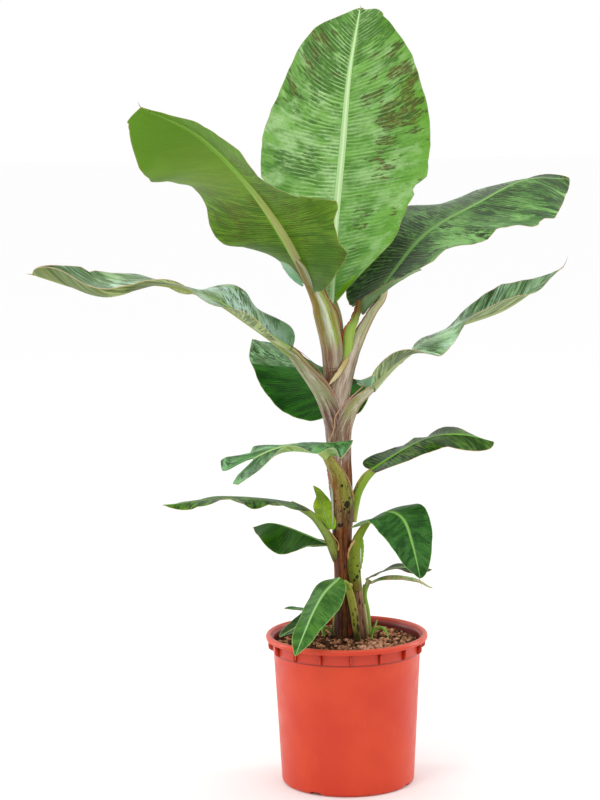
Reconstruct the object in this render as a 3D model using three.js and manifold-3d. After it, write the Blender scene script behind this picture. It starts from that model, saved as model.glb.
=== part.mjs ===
// A young banana plant in a nursery pot: one clump of a main false stem and three small suckers,
// each long leaf stalk and each leaf blade its own closed solid.
// Millimetres, +Z up. The origin is the centre of the flat underside of the pot.

import * as THREE from 'three';
import { mergeVertices } from 'three/addons/utils/BufferGeometryUtils.js';
import Module from 'manifold-3d';

const wasm = await Module();
wasm.setup();

// ---------------------------------------------------------------- driving sizes
const GAP = 0.4;               // air kept between touching pieces
const POT_RIM_R = 155;         // outer radius over the rolled rim
const POT_HEIGHT = 290;        // underside to top of the rim
const POT_LIP_H = 11;          // depth of the rolled rim
const POT_BAND_R = 142.6;      // straight band under the rim
const POT_BAND_H = 34;         // depth of that band, rim included
const POT_BODY_R = 140.6;      // body just under the band
const POT_BASE_R = 127.7;      // body at the bottom corner
const POT_CORNER = 8;          // rounding of the bottom corner
const POT_WALL = 3.0;
const POT_FLOOR = 3.5;
const POT_FINS = 16;           // stiffening fins under the rim
const POT_FIN_R = 151;
const POT_FIN_H = 17;
const POT_FIN_T = 2.6;
const POT_FIN_TURN = 1.65;     // degrees from +X to the first fin
const POT_SEGMENTS = 48;
const SOIL_TOP = 271;          // mean level of the potting mix
const SOIL_MOUND = 5;          // how much it rises towards the stems
const SOIL_ROUGH = 1.6;

const BLADE_ALONG = [12, 8, 5];  // blade facets from foot to tip, on a long, a short and a tiny blade
const BLADE_ACROSS = [3, 2, 1];  // and from midrib to margin
const BLADE_HALF = 1.1;        // half the thickness of a blade
const LIMB_SIDES = 8;
const BLADE_SHORT = [150, 320];  // blades shorter than these are tiny, and short
const FINE = 96;               // steps in which a midrib is measured

// Limbs: the stems from the soil up, and the leaf stalks from the blade down to where their sheath
// closes into the stem. Each row is x, y, z, radius. A stalk starts at the foot of its own blade.
const LIMBS = {
  stem_main: [[-3, 0, 272, 17.4], [-5, 0, 343, 16.4], [-5, 0, 402, 16.3], [-6, 0, 460, 17.7], [-6, 0, 518, 19.1], [-7, 0, 586, 20.5], [-9, 0, 644, 21.4], [-11, 0, 692, 23.7], [-12, 0, 732, 20.9], [-13, 0, 768, 15.2]],
  stem_right: [[33, 4, 273, 10.6], [29, 2, 323, 10.6], [23, -2, 372, 11.1], [19, -6, 422, 10.5], [20, -8, 461, 10.5], [25, -8, 486, 6.7]],
  stem_front: [[19, -30, 297, 6.7], [12, -28, 335, 6.7], [6, -26, 364, 7.2], [3, -26, 389, 5.7]],
  stem_back: [[43, 22, 281, 5.8], [40, 22, 324, 5.8], [35, 22, 355, 5.3], [38, 22, 377, 5.8]],
  stem_left: [[-24, 12, 272, 4.8], [-22, 12, 307, 4.8], [-18, 10, 339, 4.3], [-20, 8, 371, 3.9]],
  petiole_1: [[-21, 30, 916, 7.6], [-14, 26, 871, 10.5], [-9, 20, 829, 13.3], [-8, 12, 780, 15.2], [-10, 6, 739, 16.1]],
  petiole_2: [[-50, -24, 929, 12.2], [-37, -24, 902, 15.0], [-24, -24, 870, 17.9], [-22, -22, 834, 18.8], [-23, -20, 803, 17.0], [-25, -18, 773, 11.3], [-25, -14, 742, 5.7]],
  petiole_3: [[80, 30, 949, 8.6], [55, 20, 914, 10.4], [34, 8, 876, 13.3], [19, -2, 843, 16.1], [6, -8, 805, 18.9], [-6, -12, 768, 20.8], [-12, -12, 732, 18.9]],
  petiole_4: [[53, -4, 760, 5.7], [35, -10, 742, 8.5], [18, -16, 724, 12.3], [4, -18, 704, 16.1], [-4, -14, 665, 11.4]],
  petiole_5: [[-105, -20, 840, 7.5], [-77, -20, 812, 11.3], [-57, -18, 781, 13.2], [-40, -16, 748, 14.2], [-31, -14, 715, 14.2], [-24, -10, 680, 11.4]],
  petiole_6: [[-12, 40, 707, 8.6], [-8, 32, 681, 11.5], [-7, 22, 650, 13.4], [-5, 12, 613, 11.5]],
  petiole_7: [[-36, -46, 640, 9.4], [-23, -40, 623, 11.3], [-14, -34, 601, 13.2], [-9, -28, 571, 13.3], [-5, -24, 540, 11.4], [-5, -20, 512, 5.7]],
  petiole_8: [[54, 12, 599, 6.7], [38, 10, 578, 8.6], [26, 8, 555, 7.6], [20, 6, 527, 5.7], [18, 4, 496, 3.8]],
  petiole_9: [[-87, -10, 535, 7.6], [-58, -10, 515, 8.6], [-40, -8, 489, 8.6], [-26, -6, 462, 8.6], [-17, -4, 428, 6.7]],
  petiole_10: [[-28, 8, 453, 3.8], [-21, 8, 437, 5.8], [-15, 6, 414, 5.8]],
  petiole_12: [[38, -26, 503, 5.7], [29, -20, 487, 7.6], [23, -14, 466, 7.6]],
  petiole_13: [[44, 20, 387, 4.8], [38, 22, 371, 4.8]],
  petiole_14: [[-7, -62, 403, 3.3], [1, -45, 395, 3.8], [5, -34, 383, 4.8]],
};

// Blades: rib = five or six points of the midrib, roll = its twist, fold = the rise of each half at
// the midrib, curl = how much further it bends by the margin (radians, evenly spaced foot to tip),
// width = half widths, widest = where along the rib, lobe = half width at the foot as a share,
// back = how far the foot lobes reach back, foot / tip = the two powers of the rounding at each end.
// A torn blade also has cut = the share of its width left at the tip, and fwd = how far each half runs on
// past the broken midrib.
const BLADES = {
  leaf_1: {
    rib: [[-21, 13, 922], [-12, 65, 1071], [4, 117, 1214], [19, 170, 1350], [43, 224, 1480]],
    roll: [0.68, 0.36, 0.27, 0.33, 0.43],
    fold: [[-0.39, -0.24, -0.03, -0.03, 0.11], [-0.02, -0.14, -0.34, -0.39, -0.38]],
    curl: [[0.17, 0.18, 0.34, 0.48, 0.43, 0.35, 0.5, 0.18], [0.5, 0.07, 0.29, 0.11, -0.05, -0.17, -0.15, -0.23]],
    width: [169, 170], widest: 0.53, lobe: [0.02, 0.25], back: [0.19, 0.15], foot: [1.86, 2.03], tip: [1.86, 1.39],
    ribThick: 6.0,
  },
  leaf_2: {
    rib: [[-49, -12, 924], [-107, -93, 1049], [-173, -182, 1156], [-257, -274, 1248], [-351, -362, 1298]],
    roll: [0.68, 0.1, 0.18, -0.08, -0.38],
    fold: [[-0.34, 0.19, -0.03, -0.45, -0.48], [-0.07, -0.3, -0.35, -0.42, -0.37]],
    curl: [[-0.27, 0.02, -0.37, 0.37, -0.04, -0.04, 0.2, -0.32], [0.08, 0.72, 0.01, 0.39, 0.14, -0.31, -0.7, -0.19]],
    width: [145, 144], widest: 0.54, lobe: [0.02, 0.29], back: [0.4, -0.35], foot: [2.16, 2.08], tip: [2.79, 1.34],
    ribThick: 6.5,
  },
  leaf_3: {
    rib: [[76, 4, 956], [162, 103, 1046], [268, 195, 1099], [370, 285, 1140], [468, 372, 1137]],
    roll: [0.44, 0.06, -0.02, 0.03, -0.32],
    fold: [[0.13, 0.34, 0.07, -0.04, -0.07], [-0.12, -0.16, -0.26, -0.33, -0.29]],
    curl: [[-0.08, -0.02, -0.32, -0.22, -0.46, -0.21, -0.56, -0.02], [-0.08, 0.13, 0.02, 0.21, -0.07, -0.33, -0.5, -0.41]],
    width: [146, 145], widest: 0.55, lobe: [0.32, 0.13], back: [-0.8, -0.51], foot: [1.76, 2.08], tip: [1.37, 1.24],
    ribThick: 6.0,
  },
  leaf_4: {
    rib: [[51, -32, 765], [118, 51, 816], [210, 116, 862], [327, 182, 896], [439, 246, 966]],
    roll: [0.69, 0.36, 0.51, 0.11, 0.11], fold: [[0.97, 0.0, 0.25, 0.44, 0.0], [0.54, -0.06, -0.04, 0.47, 0.13]],
    curl: [[-0.2, -0.29, -0.23, 0.19, -0.07, 0.81, 0.76, -0.02], [-0.4, 0.02, -0.83, -0.34, -0.06, -0.08, -0.45, 0.24]],
    width: [83, 82], widest: 0.4, lobe: [0.37, 0.42], back: [0.04, -0.4], foot: [1.05, 2.38], tip: [1.47, 1.06],
    ribThick: 4.5,
  },
  leaf_5: {
   
    rib: [[-101, -48, 839], [-169, -111, 896], [-248, -145, 951], [-345, -162, 979], [-449, -179, 968], [-563, -194, 1000]],
    roll: [0.65, 0.89, 0.4, 0.62, 0.16], fold: [[0.44, 0.51, 0.42, -0.14, 0.64], [0.33, -0.15, -0.1, -0.26, 0.36]],
    curl: [[0.1, 0.48, 0.76, -0.27, 0.51, 1.62, 1.43, 0.97], [0.08, -0.61, 0.0, -0.9, -0.37, 0.36, 1.01, 1.24]],
    width: [87, 81], widest: 0.47, lobe: [0.15, 0.44], back: [-0.42, -0.39], foot: [2.69, 2.03], tip: [1.37, 1.99],
    ribThick: 5.5,
  },
  leaf_6: {
    rib: [[-14, 2, 716], [-38, 123, 742], [-63, 243, 765], [-88, 363, 783], [-114, 485, 798]],
    roll: [0.07, 0.12, 0.02, -0.19, -0.12],
    fold: [[-0.37, -0.13, 0.06, 0.07, 0.0], [-0.17, -0.01, -0.04, -0.44, -0.63]],
    curl: [[-0.04, -0.09, -0.03, 0.08, 0.0, 0.19, 0.15, -0.08], [-0.28, -0.07, 0.09, 0.26, 0.34, 0.33, 0.33, 0.4]],
    width: [119, 119], widest: 0.54, lobe: [0.18, 0.08], back: [-0.07, -0.52], foot: [1.64, 1.71], tip: [2.0, 1.14],
    ribThick: 5.5,
  },
  leaf_7: {
    rib: [[-34, -42, 640], [-69, -96, 670], [-105, -147, 677], [-150, -198, 670], [-191, -245, 654]],
    roll: [0.3, -0.01, 0.16, 0.14, -0.64], fold: [[0.56, 0.41, 0.15, -0.1, -0.64], [0.01, -0.5, -0.25, 0.01, 0.52]],
    curl: [[-0.82, -0.11, -1.18, -0.19, 0.14, 1.19, 0.57, 0.16], [0.33, 0.53, 0.53, -0.61, -0.21, -0.99, -0.03, -0.22]],
    width: [86, 79], widest: 0.29, lobe: [0.02, 0.32], back: [-0.01, -0.5], foot: [2.63, 1.38], tip: [1.63, 1.14],
    ribThick: 4.0, cut: 0.44, fwd: [1.92, 0.95],
  },
  leaf_8: {
    rib: [[54, 10, 603], [112, 33, 638], [172, 56, 659], [231, 76, 659], [290, 94, 642]],
    roll: [-0.11, 0.18, 0.15, -0.04, 0.26], fold: [[0.17, -0.04, -0.1, 0.33, 0.11], [0.39, -0.32, -0.18, -0.52, -0.69]],
    curl: [[-0.09, 0.26, 0.25, 0.25, -0.08, -0.41, -0.59, -0.62], [-0.26, -0.06, -0.05, -0.53, -0.45, -0.2, -0.71, -0.75]],
    width: [57, 55], widest: 0.2, lobe: [0.45, 0.44], back: [-0.33, -0.58], foot: [2.37, 2.34], tip: [2.25, 1.76],
    ribThick: 3.5,
  },
  leaf_9: {
    rib: [[-100, 16, 540], [-157, -19, 555], [-217, -50, 564], [-279, -76, 561], [-341, -101, 560]],
    roll: [-0.34, -0.21, -0.19, -0.26, 0.2],
    fold: [[-0.19, 0.03, -0.06, -0.21, -0.44], [-0.14, 0.08, 0.14, 0.19, -0.81]],
    curl: [[-0.56, -0.67, -0.52, -0.76, 0.06, -0.16, -0.5, -0.67], [0.15, -0.13, -0.57, -0.31, -0.16, -0.19, 0.13, -0.05]],
    width: [59, 55], widest: 0.38, lobe: [0.64, 0.26], back: [-0.73, -0.17], foot: [2.13, 1.94], tip: [1.66, 1.05],
    ribThick: 3.5,
  },
  leaf_10: {
    rib: [[-28, -3, 461], [-71, 29, 475], [-110, 61, 486], [-146, 93, 488], [-179, 123, 474]],
    roll: [-0.38, 0.19, 0.15, -0.45, -0.41],
    fold: [[-0.52, -0.67, -1.03, -1.06, -1.23], [-0.55, -0.76, -1.13, -0.55, 0.16]],
    curl: [[0.79, 0.93, 0.65, 0.34, 0.18, 0.11, -0.04, 0.03], [-0.18, 0.37, 0.42, 0.68, 0.64, 0.54, 0.23, 0.12]],
    width: [59, 58], widest: 0.51, lobe: [0.49, 0.03], back: [-0.22, -0.7], foot: [1.68, 2.15], tip: [1.86, 0.91],
    ribThick: 2.5,
  },
  leaf_12: {
    rib: [[41, -38, 513], [79, -62, 534], [107, -90, 524], [122, -121, 482], [134, -152, 425]],
    roll: [-0.58, -0.46, -0.43, -0.22, -0.39],
    fold: [[-0.46, -0.11, -0.16, -0.08, 0.26], [0.07, 0.1, -0.37, -0.16, 0.42]],
    curl: [[-0.33, -0.2, -0.07, 0.48, 0.45, 0.6, 0.41, 0.39], [0.71, 0.45, 0.13, 0.15, 0.2, 0.22, -0.01, 0.48]],
    width: [54, 56], widest: 0.4, lobe: [0.47, 0.54], back: [-0.26, -0.83], foot: [1.83, 1.81], tip: [1.2, 1.73],
    ribThick: 2.8,
  },
  leaf_14: {
    rib: [[-14, -86, 414], [-42, -112, 393], [-63, -142, 365], [-81, -173, 330], [-98, -205, 294]],
    roll: [-0.19, 0.08, -0.07, 0.0, -0.01], fold: [[-0.54, -0.71, -0.78, -0.36, 0.1], [0.3, -0.1, -0.17, 0.19, 0.33]],
    curl: [[-0.08, -0.29, -0.37, -0.45, -0.3, -0.17, -0.54, 0.06], [-0.8, 0.2, 0.01, 0.47, 0.54, 0.47, 0.86, 0.93]],
    width: [38, 36], widest: 0.27, lobe: [0.08, 0.16], back: [-0.33, -0.87], foot: [2.13, 1.56], tip: [1.39, 1.74],
    ribThick: 2.2,
  },
  leaf_13a: {
    rib: [[37, 10, 391], [68, 20, 404], [100, 28, 409], [133, 34, 407], [166, 39, 402]],
    roll: [0.29, 0.24, 0.03, -0.3, 0.31], fold: [[0.13, -0.31, 0.12, -0.38, -0.01], [0.24, -0.16, -0.08, -0.41, -0.48]],
    curl: [[-0.02, -0.22, 0.33, 0.28, 0.28, 0.21, 0.4, 0.77], [-0.6, -0.27, 0.09, 0.19, -0.07, 0.15, -0.14, 0.12]],
    width: [20, 19], widest: 0.49, lobe: [0.27, 0.35], back: [0.1, -0.37], foot: [1.86, 1.49], tip: [1.88, 1.76],
    ribThick: 1.2,
  },
  leaf_13b: {
    rib: [[44, 37, 379], [72, 25, 393], [102, 11, 397], [133, -5, 392], [164, -21, 379]],
    roll: [-0.31, 0.11, -0.1, 0.12, 0.25],
    fold: [[-0.51, -0.26, -0.29, -0.16, -0.37], [-0.42, -0.41, -0.3, -0.33, -0.4]],
    curl: [[0.25, -0.01, 0.45, -0.03, -0.05, 0.08, 0.11, -0.04], [0.25, 0.19, -0.03, 0.16, 0.35, 0.33, 0.63, -0.3]],
    width: [19, 19], widest: 0.47, lobe: [0.39, 0.15], back: [-0.39, -0.23], foot: [1.55, 2.37], tip: [2.21, 1.36],
    ribThick: 1.2,
  },
  leaf_15a: {
    rib: [[-32, -3, 355], [-53, -27, 341], [-76, -51, 327], [-101, -73, 315], [-127, -93, 304]],
    roll: [-0.21, -0.28, -0.53, 0.01, -0.4], fold: [[-0.08, 0.3, 0.22, 0.37, 0.16], [-0.17, 0.43, 0.45, 0.17, 0.33]],
    curl: [[0.17, -0.23, 0.35, 0.16, 0.46, -0.14, -0.37, -0.09], [0.16, 0.47, -0.05, 0.33, 0.39, 0.05, 0.22, 0.33]],
    width: [23, 23], widest: 0.45, lobe: [0.28, 0.48], back: [-0.47, -0.38], foot: [2.12, 1.82], tip: [1.44, 1.75],
    ribThick: 1.2,
  },
  leaf_15b: {
    rib: [[-31, 17, 349], [-53, 3, 341], [-75, -10, 337], [-97, -23, 341], [-119, -36, 346]],
    roll: [0.63, 0.01, 0.0, 0.09, -0.39], fold: [[0.23, 0.39, 0.17, 0.27, -0.12], [0.62, 0.28, 0.2, 0.4, 0.42]],
    curl: [[0.18, 0.02, -0.13, -0.43, -0.09, -0.21, -0.15, 0.08], [-0.1, 0.11, 0.2, -0.03, -0.02, -0.16, 0.6, 0.29]],
    width: [9, 10], widest: 0.46, lobe: [0.53, 0.24], back: [-0.05, -0.61], foot: [2.12, 2.16], tip: [2.24, 1.56],
    ribThick: 0.8,
  },
  bract_1: {
    rib: [[-30, -16, 494], [-37, -7, 514], [-44, 1, 533], [-52, 10, 552], [-60, 19, 572]],
    roll: [0.28, 0.56, 0.14, 0.01, -0.09], fold: [[0.77, 0.56, 0.13, 0.41, 0.45], [0.71, 0.43, 0.64, 0.51, 0.11]],
    curl: [[-0.21, 0.38, -0.08, -0.06, -0.23, 0.63, 0.46, 0.3], [-0.34, 0.16, 0.21, 0.21, 0.44, -0.14, 0.36, 0.0]],
    width: [21, 21], widest: 0.43, lobe: [0.26, 0.58], back: [-0.1, -0.57], foot: [1.92, 2.05], tip: [1.76, 1.36],
    ribThick: 1.0,
  },
  sprout_right_a: {
    rib: [[48, 0, 273], [50, 0, 286], [55, 2, 299], [59, 4, 312]], roll: [0, 0, 0, 0, 0],
    fold: [[0.5, 0.5, 0.5, 0.5, 0.5], [0.5, 0.5, 0.5, 0.5, 0.5]],
    curl: [[0.2, 0.2, 0.2, 0.2, 0.2, 0.2, 0.2, 0.2], [0.2, 0.2, 0.2, 0.2, 0.2, 0.2, 0.2, 0.2]], width: [4, 4],
    widest: 0.4, lobe: [0.4, 0.4], back: [-0.1, -0.1], foot: [2, 2], tip: [1.5, 1.2], ribThick: 0.6,
  },
  sprout_right_b: {
    rib: [[52, -8, 291], [62, -12, 299], [71, -16, 297], [79, -20, 284]], roll: [0, 0, 0, 0, 0],
    fold: [[0.5, 0.5, 0.5, 0.5, 0.5], [0.5, 0.5, 0.5, 0.5, 0.5]],
    curl: [[0.2, 0.2, 0.2, 0.2, 0.2, 0.2, 0.2, 0.2], [0.2, 0.2, 0.2, 0.2, 0.2, 0.2, 0.2, 0.2]], width: [4, 4],
    widest: 0.4, lobe: [0.4, 0.4], back: [-0.1, -0.1], foot: [2, 2], tip: [1.5, 1.2], ribThick: 0.6,
  },
  sprout_left_a: {
    rib: [[-43, 28, 274], [-45, 28, 282], [-45, 27, 290], [-43, 26, 298]], roll: [0, 0, 0, 0, 0],
    fold: [[0.5, 0.5, 0.5, 0.5, 0.5], [0.5, 0.5, 0.5, 0.5, 0.5]],
    curl: [[0.2, 0.2, 0.2, 0.2, 0.2, 0.2, 0.2, 0.2], [0.2, 0.2, 0.2, 0.2, 0.2, 0.2, 0.2, 0.2]], width: [4, 4],
    widest: 0.4, lobe: [0.4, 0.4], back: [-0.1, -0.1], foot: [2, 2], tip: [1.5, 1.2], ribThick: 0.6,
  },
  sprout_left_b: {
    rib: [[-26, 24, 279], [-32, 20, 288], [-38, 17, 295], [-45, 14, 299]], roll: [0, 0, 0, 0, 0],
    fold: [[0.5, 0.5, 0.5, 0.5, 0.5], [0.5, 0.5, 0.5, 0.5, 0.5]],
    curl: [[0.2, 0.2, 0.2, 0.2, 0.2, 0.2, 0.2, 0.2], [0.2, 0.2, 0.2, 0.2, 0.2, 0.2, 0.2, 0.2]], width: [4, 4],
    widest: 0.4, lobe: [0.4, 0.4], back: [-0.1, -0.1], foot: [2, 2], tip: [1.5, 1.2], ribThick: 0.6,
  },
};

// ---------------------------------------------------------------- small helpers
const V = (a) => new THREE.Vector3(a[0], a[1], a[2]);
const clamp = (x, a, b) => Math.min(b, Math.max(a, x));

// uniform Catmull-Rom through scalars or through points, ends mirrored
function spline(values, t) {
  const n = values.length;
  const x = clamp(t, 0, 1) * (n - 1);
  const i = Math.min(Math.floor(x), n - 2);
  const f = x - i;
  const at = (k) => {
    if (Array.isArray(values[0])) {
      const g = (q) => values[clamp(q, 0, n - 1)];
      if (k < 0) return values[0].map((v, c) => 2 * v - values[1][c]);
      if (k > n - 1) return values[n - 1].map((v, c) => 2 * v - values[n - 2][c]);
      return g(k);
    }
    if (k < 0) return [2 * values[0] - values[1]];
    if (k > n - 1) return [2 * values[n - 1] - values[n - 2]];
    return [values[k]];
  };
  const [a, b, c, d] = [at(i - 1), at(i), at(i + 1), at(i + 2)];
  const out = b.map((_, k) => 0.5 * (2 * b[k] + (c[k] - a[k]) * f + (2 * a[k] - 5 * b[k] + 4 * c[k] - d[k]) * f * f
    + (3 * b[k] - a[k] - 3 * c[k] + d[k]) * f * f * f));
  return Array.isArray(values[0]) ? out : out[0];
}

// points evenly spaced by length along a spline, with a frame that doesn't spin
function spine(points, lean, steps) {
  const raw = [];
  for (let i = 0; i <= steps; i++) raw.push(V(spline(points, i / steps)));
  const len = [0];
  for (let i = 1; i <= steps; i++) len.push(len[i - 1] + raw[i].distanceTo(raw[i - 1]));
  const total = len[steps];
  const at = [];
  for (let i = 0, k = 0; i <= steps; i++) {
    const want = (total * i) / steps;
    while (k < steps - 1 && len[k + 1] < want) k++;
    const f = clamp((want - len[k]) / Math.max(1e-9, len[k + 1] - len[k]), 0, 1);
    at.push(raw[k].clone().lerp(raw[k + 1], f));
  }
  const tangent = at.map((_, i) => at[Math.min(steps, i + 1)].clone().sub(at[Math.max(0, i - 1)]).normalize());
  const normal = [lean.clone().addScaledVector(tangent[0], -lean.dot(tangent[0])).normalize()];
  for (let i = 0; i < steps; i++) {
    const v1 = at[i + 1].clone().sub(at[i]);
    const c1 = v1.lengthSq();
    const nl = normal[i].clone().addScaledVector(v1, (-2 / c1) * v1.dot(normal[i]));
    const tl = tangent[i].clone().addScaledVector(v1, (-2 / c1) * v1.dot(tangent[i]));
    const v2 = tangent[i + 1].clone().sub(tl);
    const c2 = v2.lengthSq();
    const n = c2 > 1e-14 ? nl.clone().addScaledVector(v2, (-2 / c2) * v2.dot(nl)) : nl;
    n.addScaledVector(tangent[i + 1], -n.dot(tangent[i + 1])).normalize();
    normal.push(n);
  }
  const side = tangent.map((t, i) => t.clone().cross(normal[i]));
  return { at, tangent, normal, side };
}

function pick(list, x) {
  const i = clamp(Math.floor(x), 0, list.length - 2);
  return list[i].clone().lerp(list[i + 1], x - i);
}

// a closed body from a grid of rings of equal count, capped at both ends by fans
function skin(rings) {
  const n = rings[0].length;
  const pos = [];
  const idx = [];
  for (const ring of rings) for (const p of ring) pos.push(p.x, p.y, p.z);
  for (let i = 0; i + 1 < rings.length; i++) {
    for (let j = 0; j < n; j++) {
      const a = i * n + j, b = i * n + ((j + 1) % n), c = a + n, d = b + n;
      idx.push(a, b, d, a, d, c);
    }
  }
  for (const [row, flip] of [[0, true], [rings.length - 1, false]]) {
    const c = pos.length / 3;
    const mid = rings[row].reduce((s, p) => s.add(p), new THREE.Vector3()).divideScalar(n);
    pos.push(mid.x, mid.y, mid.z);
    for (let j = 0; j < n; j++) {
      const a = row * n + j, b = row * n + ((j + 1) % n);
      if (flip) idx.push(c, b, a); else idx.push(c, a, b);
    }
  }
  const g = new THREE.BufferGeometry();
  g.setAttribute('position', new THREE.Float32BufferAttribute(pos, 3));
  g.setIndex(idx);
  return g;
}

function volume(g) {
  const p = g.attributes.position, ix = g.index;
  let v = 0;
  const a = new THREE.Vector3(), b = new THREE.Vector3(), c = new THREE.Vector3();
  for (let i = 0; i < ix.count; i += 3) {
    a.fromBufferAttribute(p, ix.getX(i)); b.fromBufferAttribute(p, ix.getX(i + 1)); c.fromBufferAttribute(p, ix.getX(i + 2));
    v += a.dot(b.cross(c)) / 6;
  }
  return v;
}

function solid(geometry) {
  let g = geometry.clone();
  g.deleteAttribute('normal');
  g.deleteAttribute('uv');
  g = mergeVertices(g, 1e-4);
  let tri = Array.from(g.index.array);
  const keep = [];
  for (let i = 0; i < tri.length; i += 3) {
    if (tri[i] !== tri[i + 1] && tri[i + 1] !== tri[i + 2] && tri[i] !== tri[i + 2]) keep.push(tri[i], tri[i + 1], tri[i + 2]);
  }
  g.setIndex(keep);
  if (volume(g) < 0) for (let i = 0; i < keep.length; i += 3) [keep[i + 1], keep[i + 2]] = [keep[i + 2], keep[i + 1]];
  return new wasm.Manifold(new wasm.Mesh({
    numProp: 3,
    vertProperties: Float32Array.from(g.attributes.position.array),
    triVerts: Uint32Array.from(keep),
  }));
}

function geometryOf(body) {
  const m = body.getMesh();
  const g = new THREE.BufferGeometry();
  g.setAttribute('position', new THREE.BufferAttribute(Float32Array.from(m.vertProperties), 3));
  g.setIndex(new THREE.BufferAttribute(Uint32Array.from(m.triVerts), 1));
  return g;
}

function largest(body) {
  const parts = body.decompose();
  return parts.reduce((a, b) => (b.volume() > a.volume() ? b : a), parts[0]);
}

// ---------------------------------------------------------------- limbs
function limb(rows, grow) {
  const steps = rows.length + 1;
  const s = spine(rows.map((r) => r.slice(0, 3)), new THREE.Vector3(0.13, -0.99, 0.05), steps);
  const rings = [];
  for (let i = 0; i <= steps; i++) {
    const r = spline(rows.map((q) => q[3]), i / steps) + grow;
    const end = i === 0 ? -grow : i === steps ? grow : 0;
    const ring = [];
    for (let j = 0; j < LIMB_SIDES; j++) {
      const a = (2 * Math.PI * j) / LIMB_SIDES;
      ring.push(s.at[i].clone().addScaledVector(s.tangent[i], end)
        .addScaledVector(s.side[i], r * Math.cos(a)).addScaledVector(s.normal[i], r * Math.sin(a)));
    }
    rings.push(ring);
  }
  return solid(skin(rings));
}

// ---------------------------------------------------------------- blades
function halfWidth(b, lobe, s) {
  if (s < b.widest) {
    const x = s / b.widest;
    return lobe + (1 - lobe) * Math.pow(clamp(1 - Math.pow(1 - x, b.foot[0]), 0, 1), 1 / b.foot[1]);
  }
  const y = (s - b.widest) / (1 - b.widest);
  const cut = b.cut || 0;
  return cut + (1 - cut) * Math.pow(clamp(1 - Math.pow(y, b.tip[0]), 0, 1), 1 / b.tip[1]);
}

// the middle surface of a blade: rows from foot to tip, columns from left margin to right margin
function bladeGrid(b, along, across) {
  const first = b.rib[0], last = b.rib[b.rib.length - 1];
  const out = new THREE.Vector3(last[0] - first[0], last[1] - first[1], 0).normalize();
  const lean = new THREE.Vector3(0, 0, 1).addScaledVector(out, -0.6);
  const sp = spine(b.rib, lean, FINE);
  const rows = [];
  for (let i = 0; i <= along; i++) {
    const u = i / along;
    const s = 0.6 * (1 - Math.cos(Math.PI * u)) / 2 + 0.4 * u;
    const at = pick(sp.at, s * FINE);
    const T = pick(sp.tangent, s * FINE).normalize();
    const N0 = pick(sp.normal, s * FINE).normalize();
    const S0 = pick(sp.side, s * FINE).normalize();
    const roll = spline(b.roll, s);
    const S = S0.clone().multiplyScalar(Math.cos(roll)).addScaledVector(N0, Math.sin(roll));
    const N = N0.clone().multiplyScalar(Math.cos(roll)).addScaledVector(S0, -Math.sin(roll));
    const row = new Array(2 * across + 1);
    row[across] = at;
    for (const k of [0, 1]) {
      const dir = k === 0 ? -1 : 1;
      const w = Math.max(1.6, b.width[k] * halfWidth(b, b.lobe[k], s));
      const fold = spline(b.fold[k], s), curl = spline(b.curl[k], s);
      const sweep = b.back[k] * Math.pow(clamp(1 - s / 0.3, 0, 1), 2) + (b.fwd ? b.fwd[k] : 0.35) * Math.pow(clamp((s - 0.55) / 0.45, 0, 1), 2);
      const p = at.clone();
      for (let j = 0; j < across; j++) {
        const phi = fold + curl * (j + 0.5) / across;
        p.addScaledVector(S, dir * Math.cos(phi) * w / across).addScaledVector(N, Math.sin(phi) * w / across)
          .addScaledVector(T, sweep * w / across);
        row[across + dir * (j + 1)] = p.clone();
      }
    }
    rows.push(row);
  }
  return rows;
}

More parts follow.
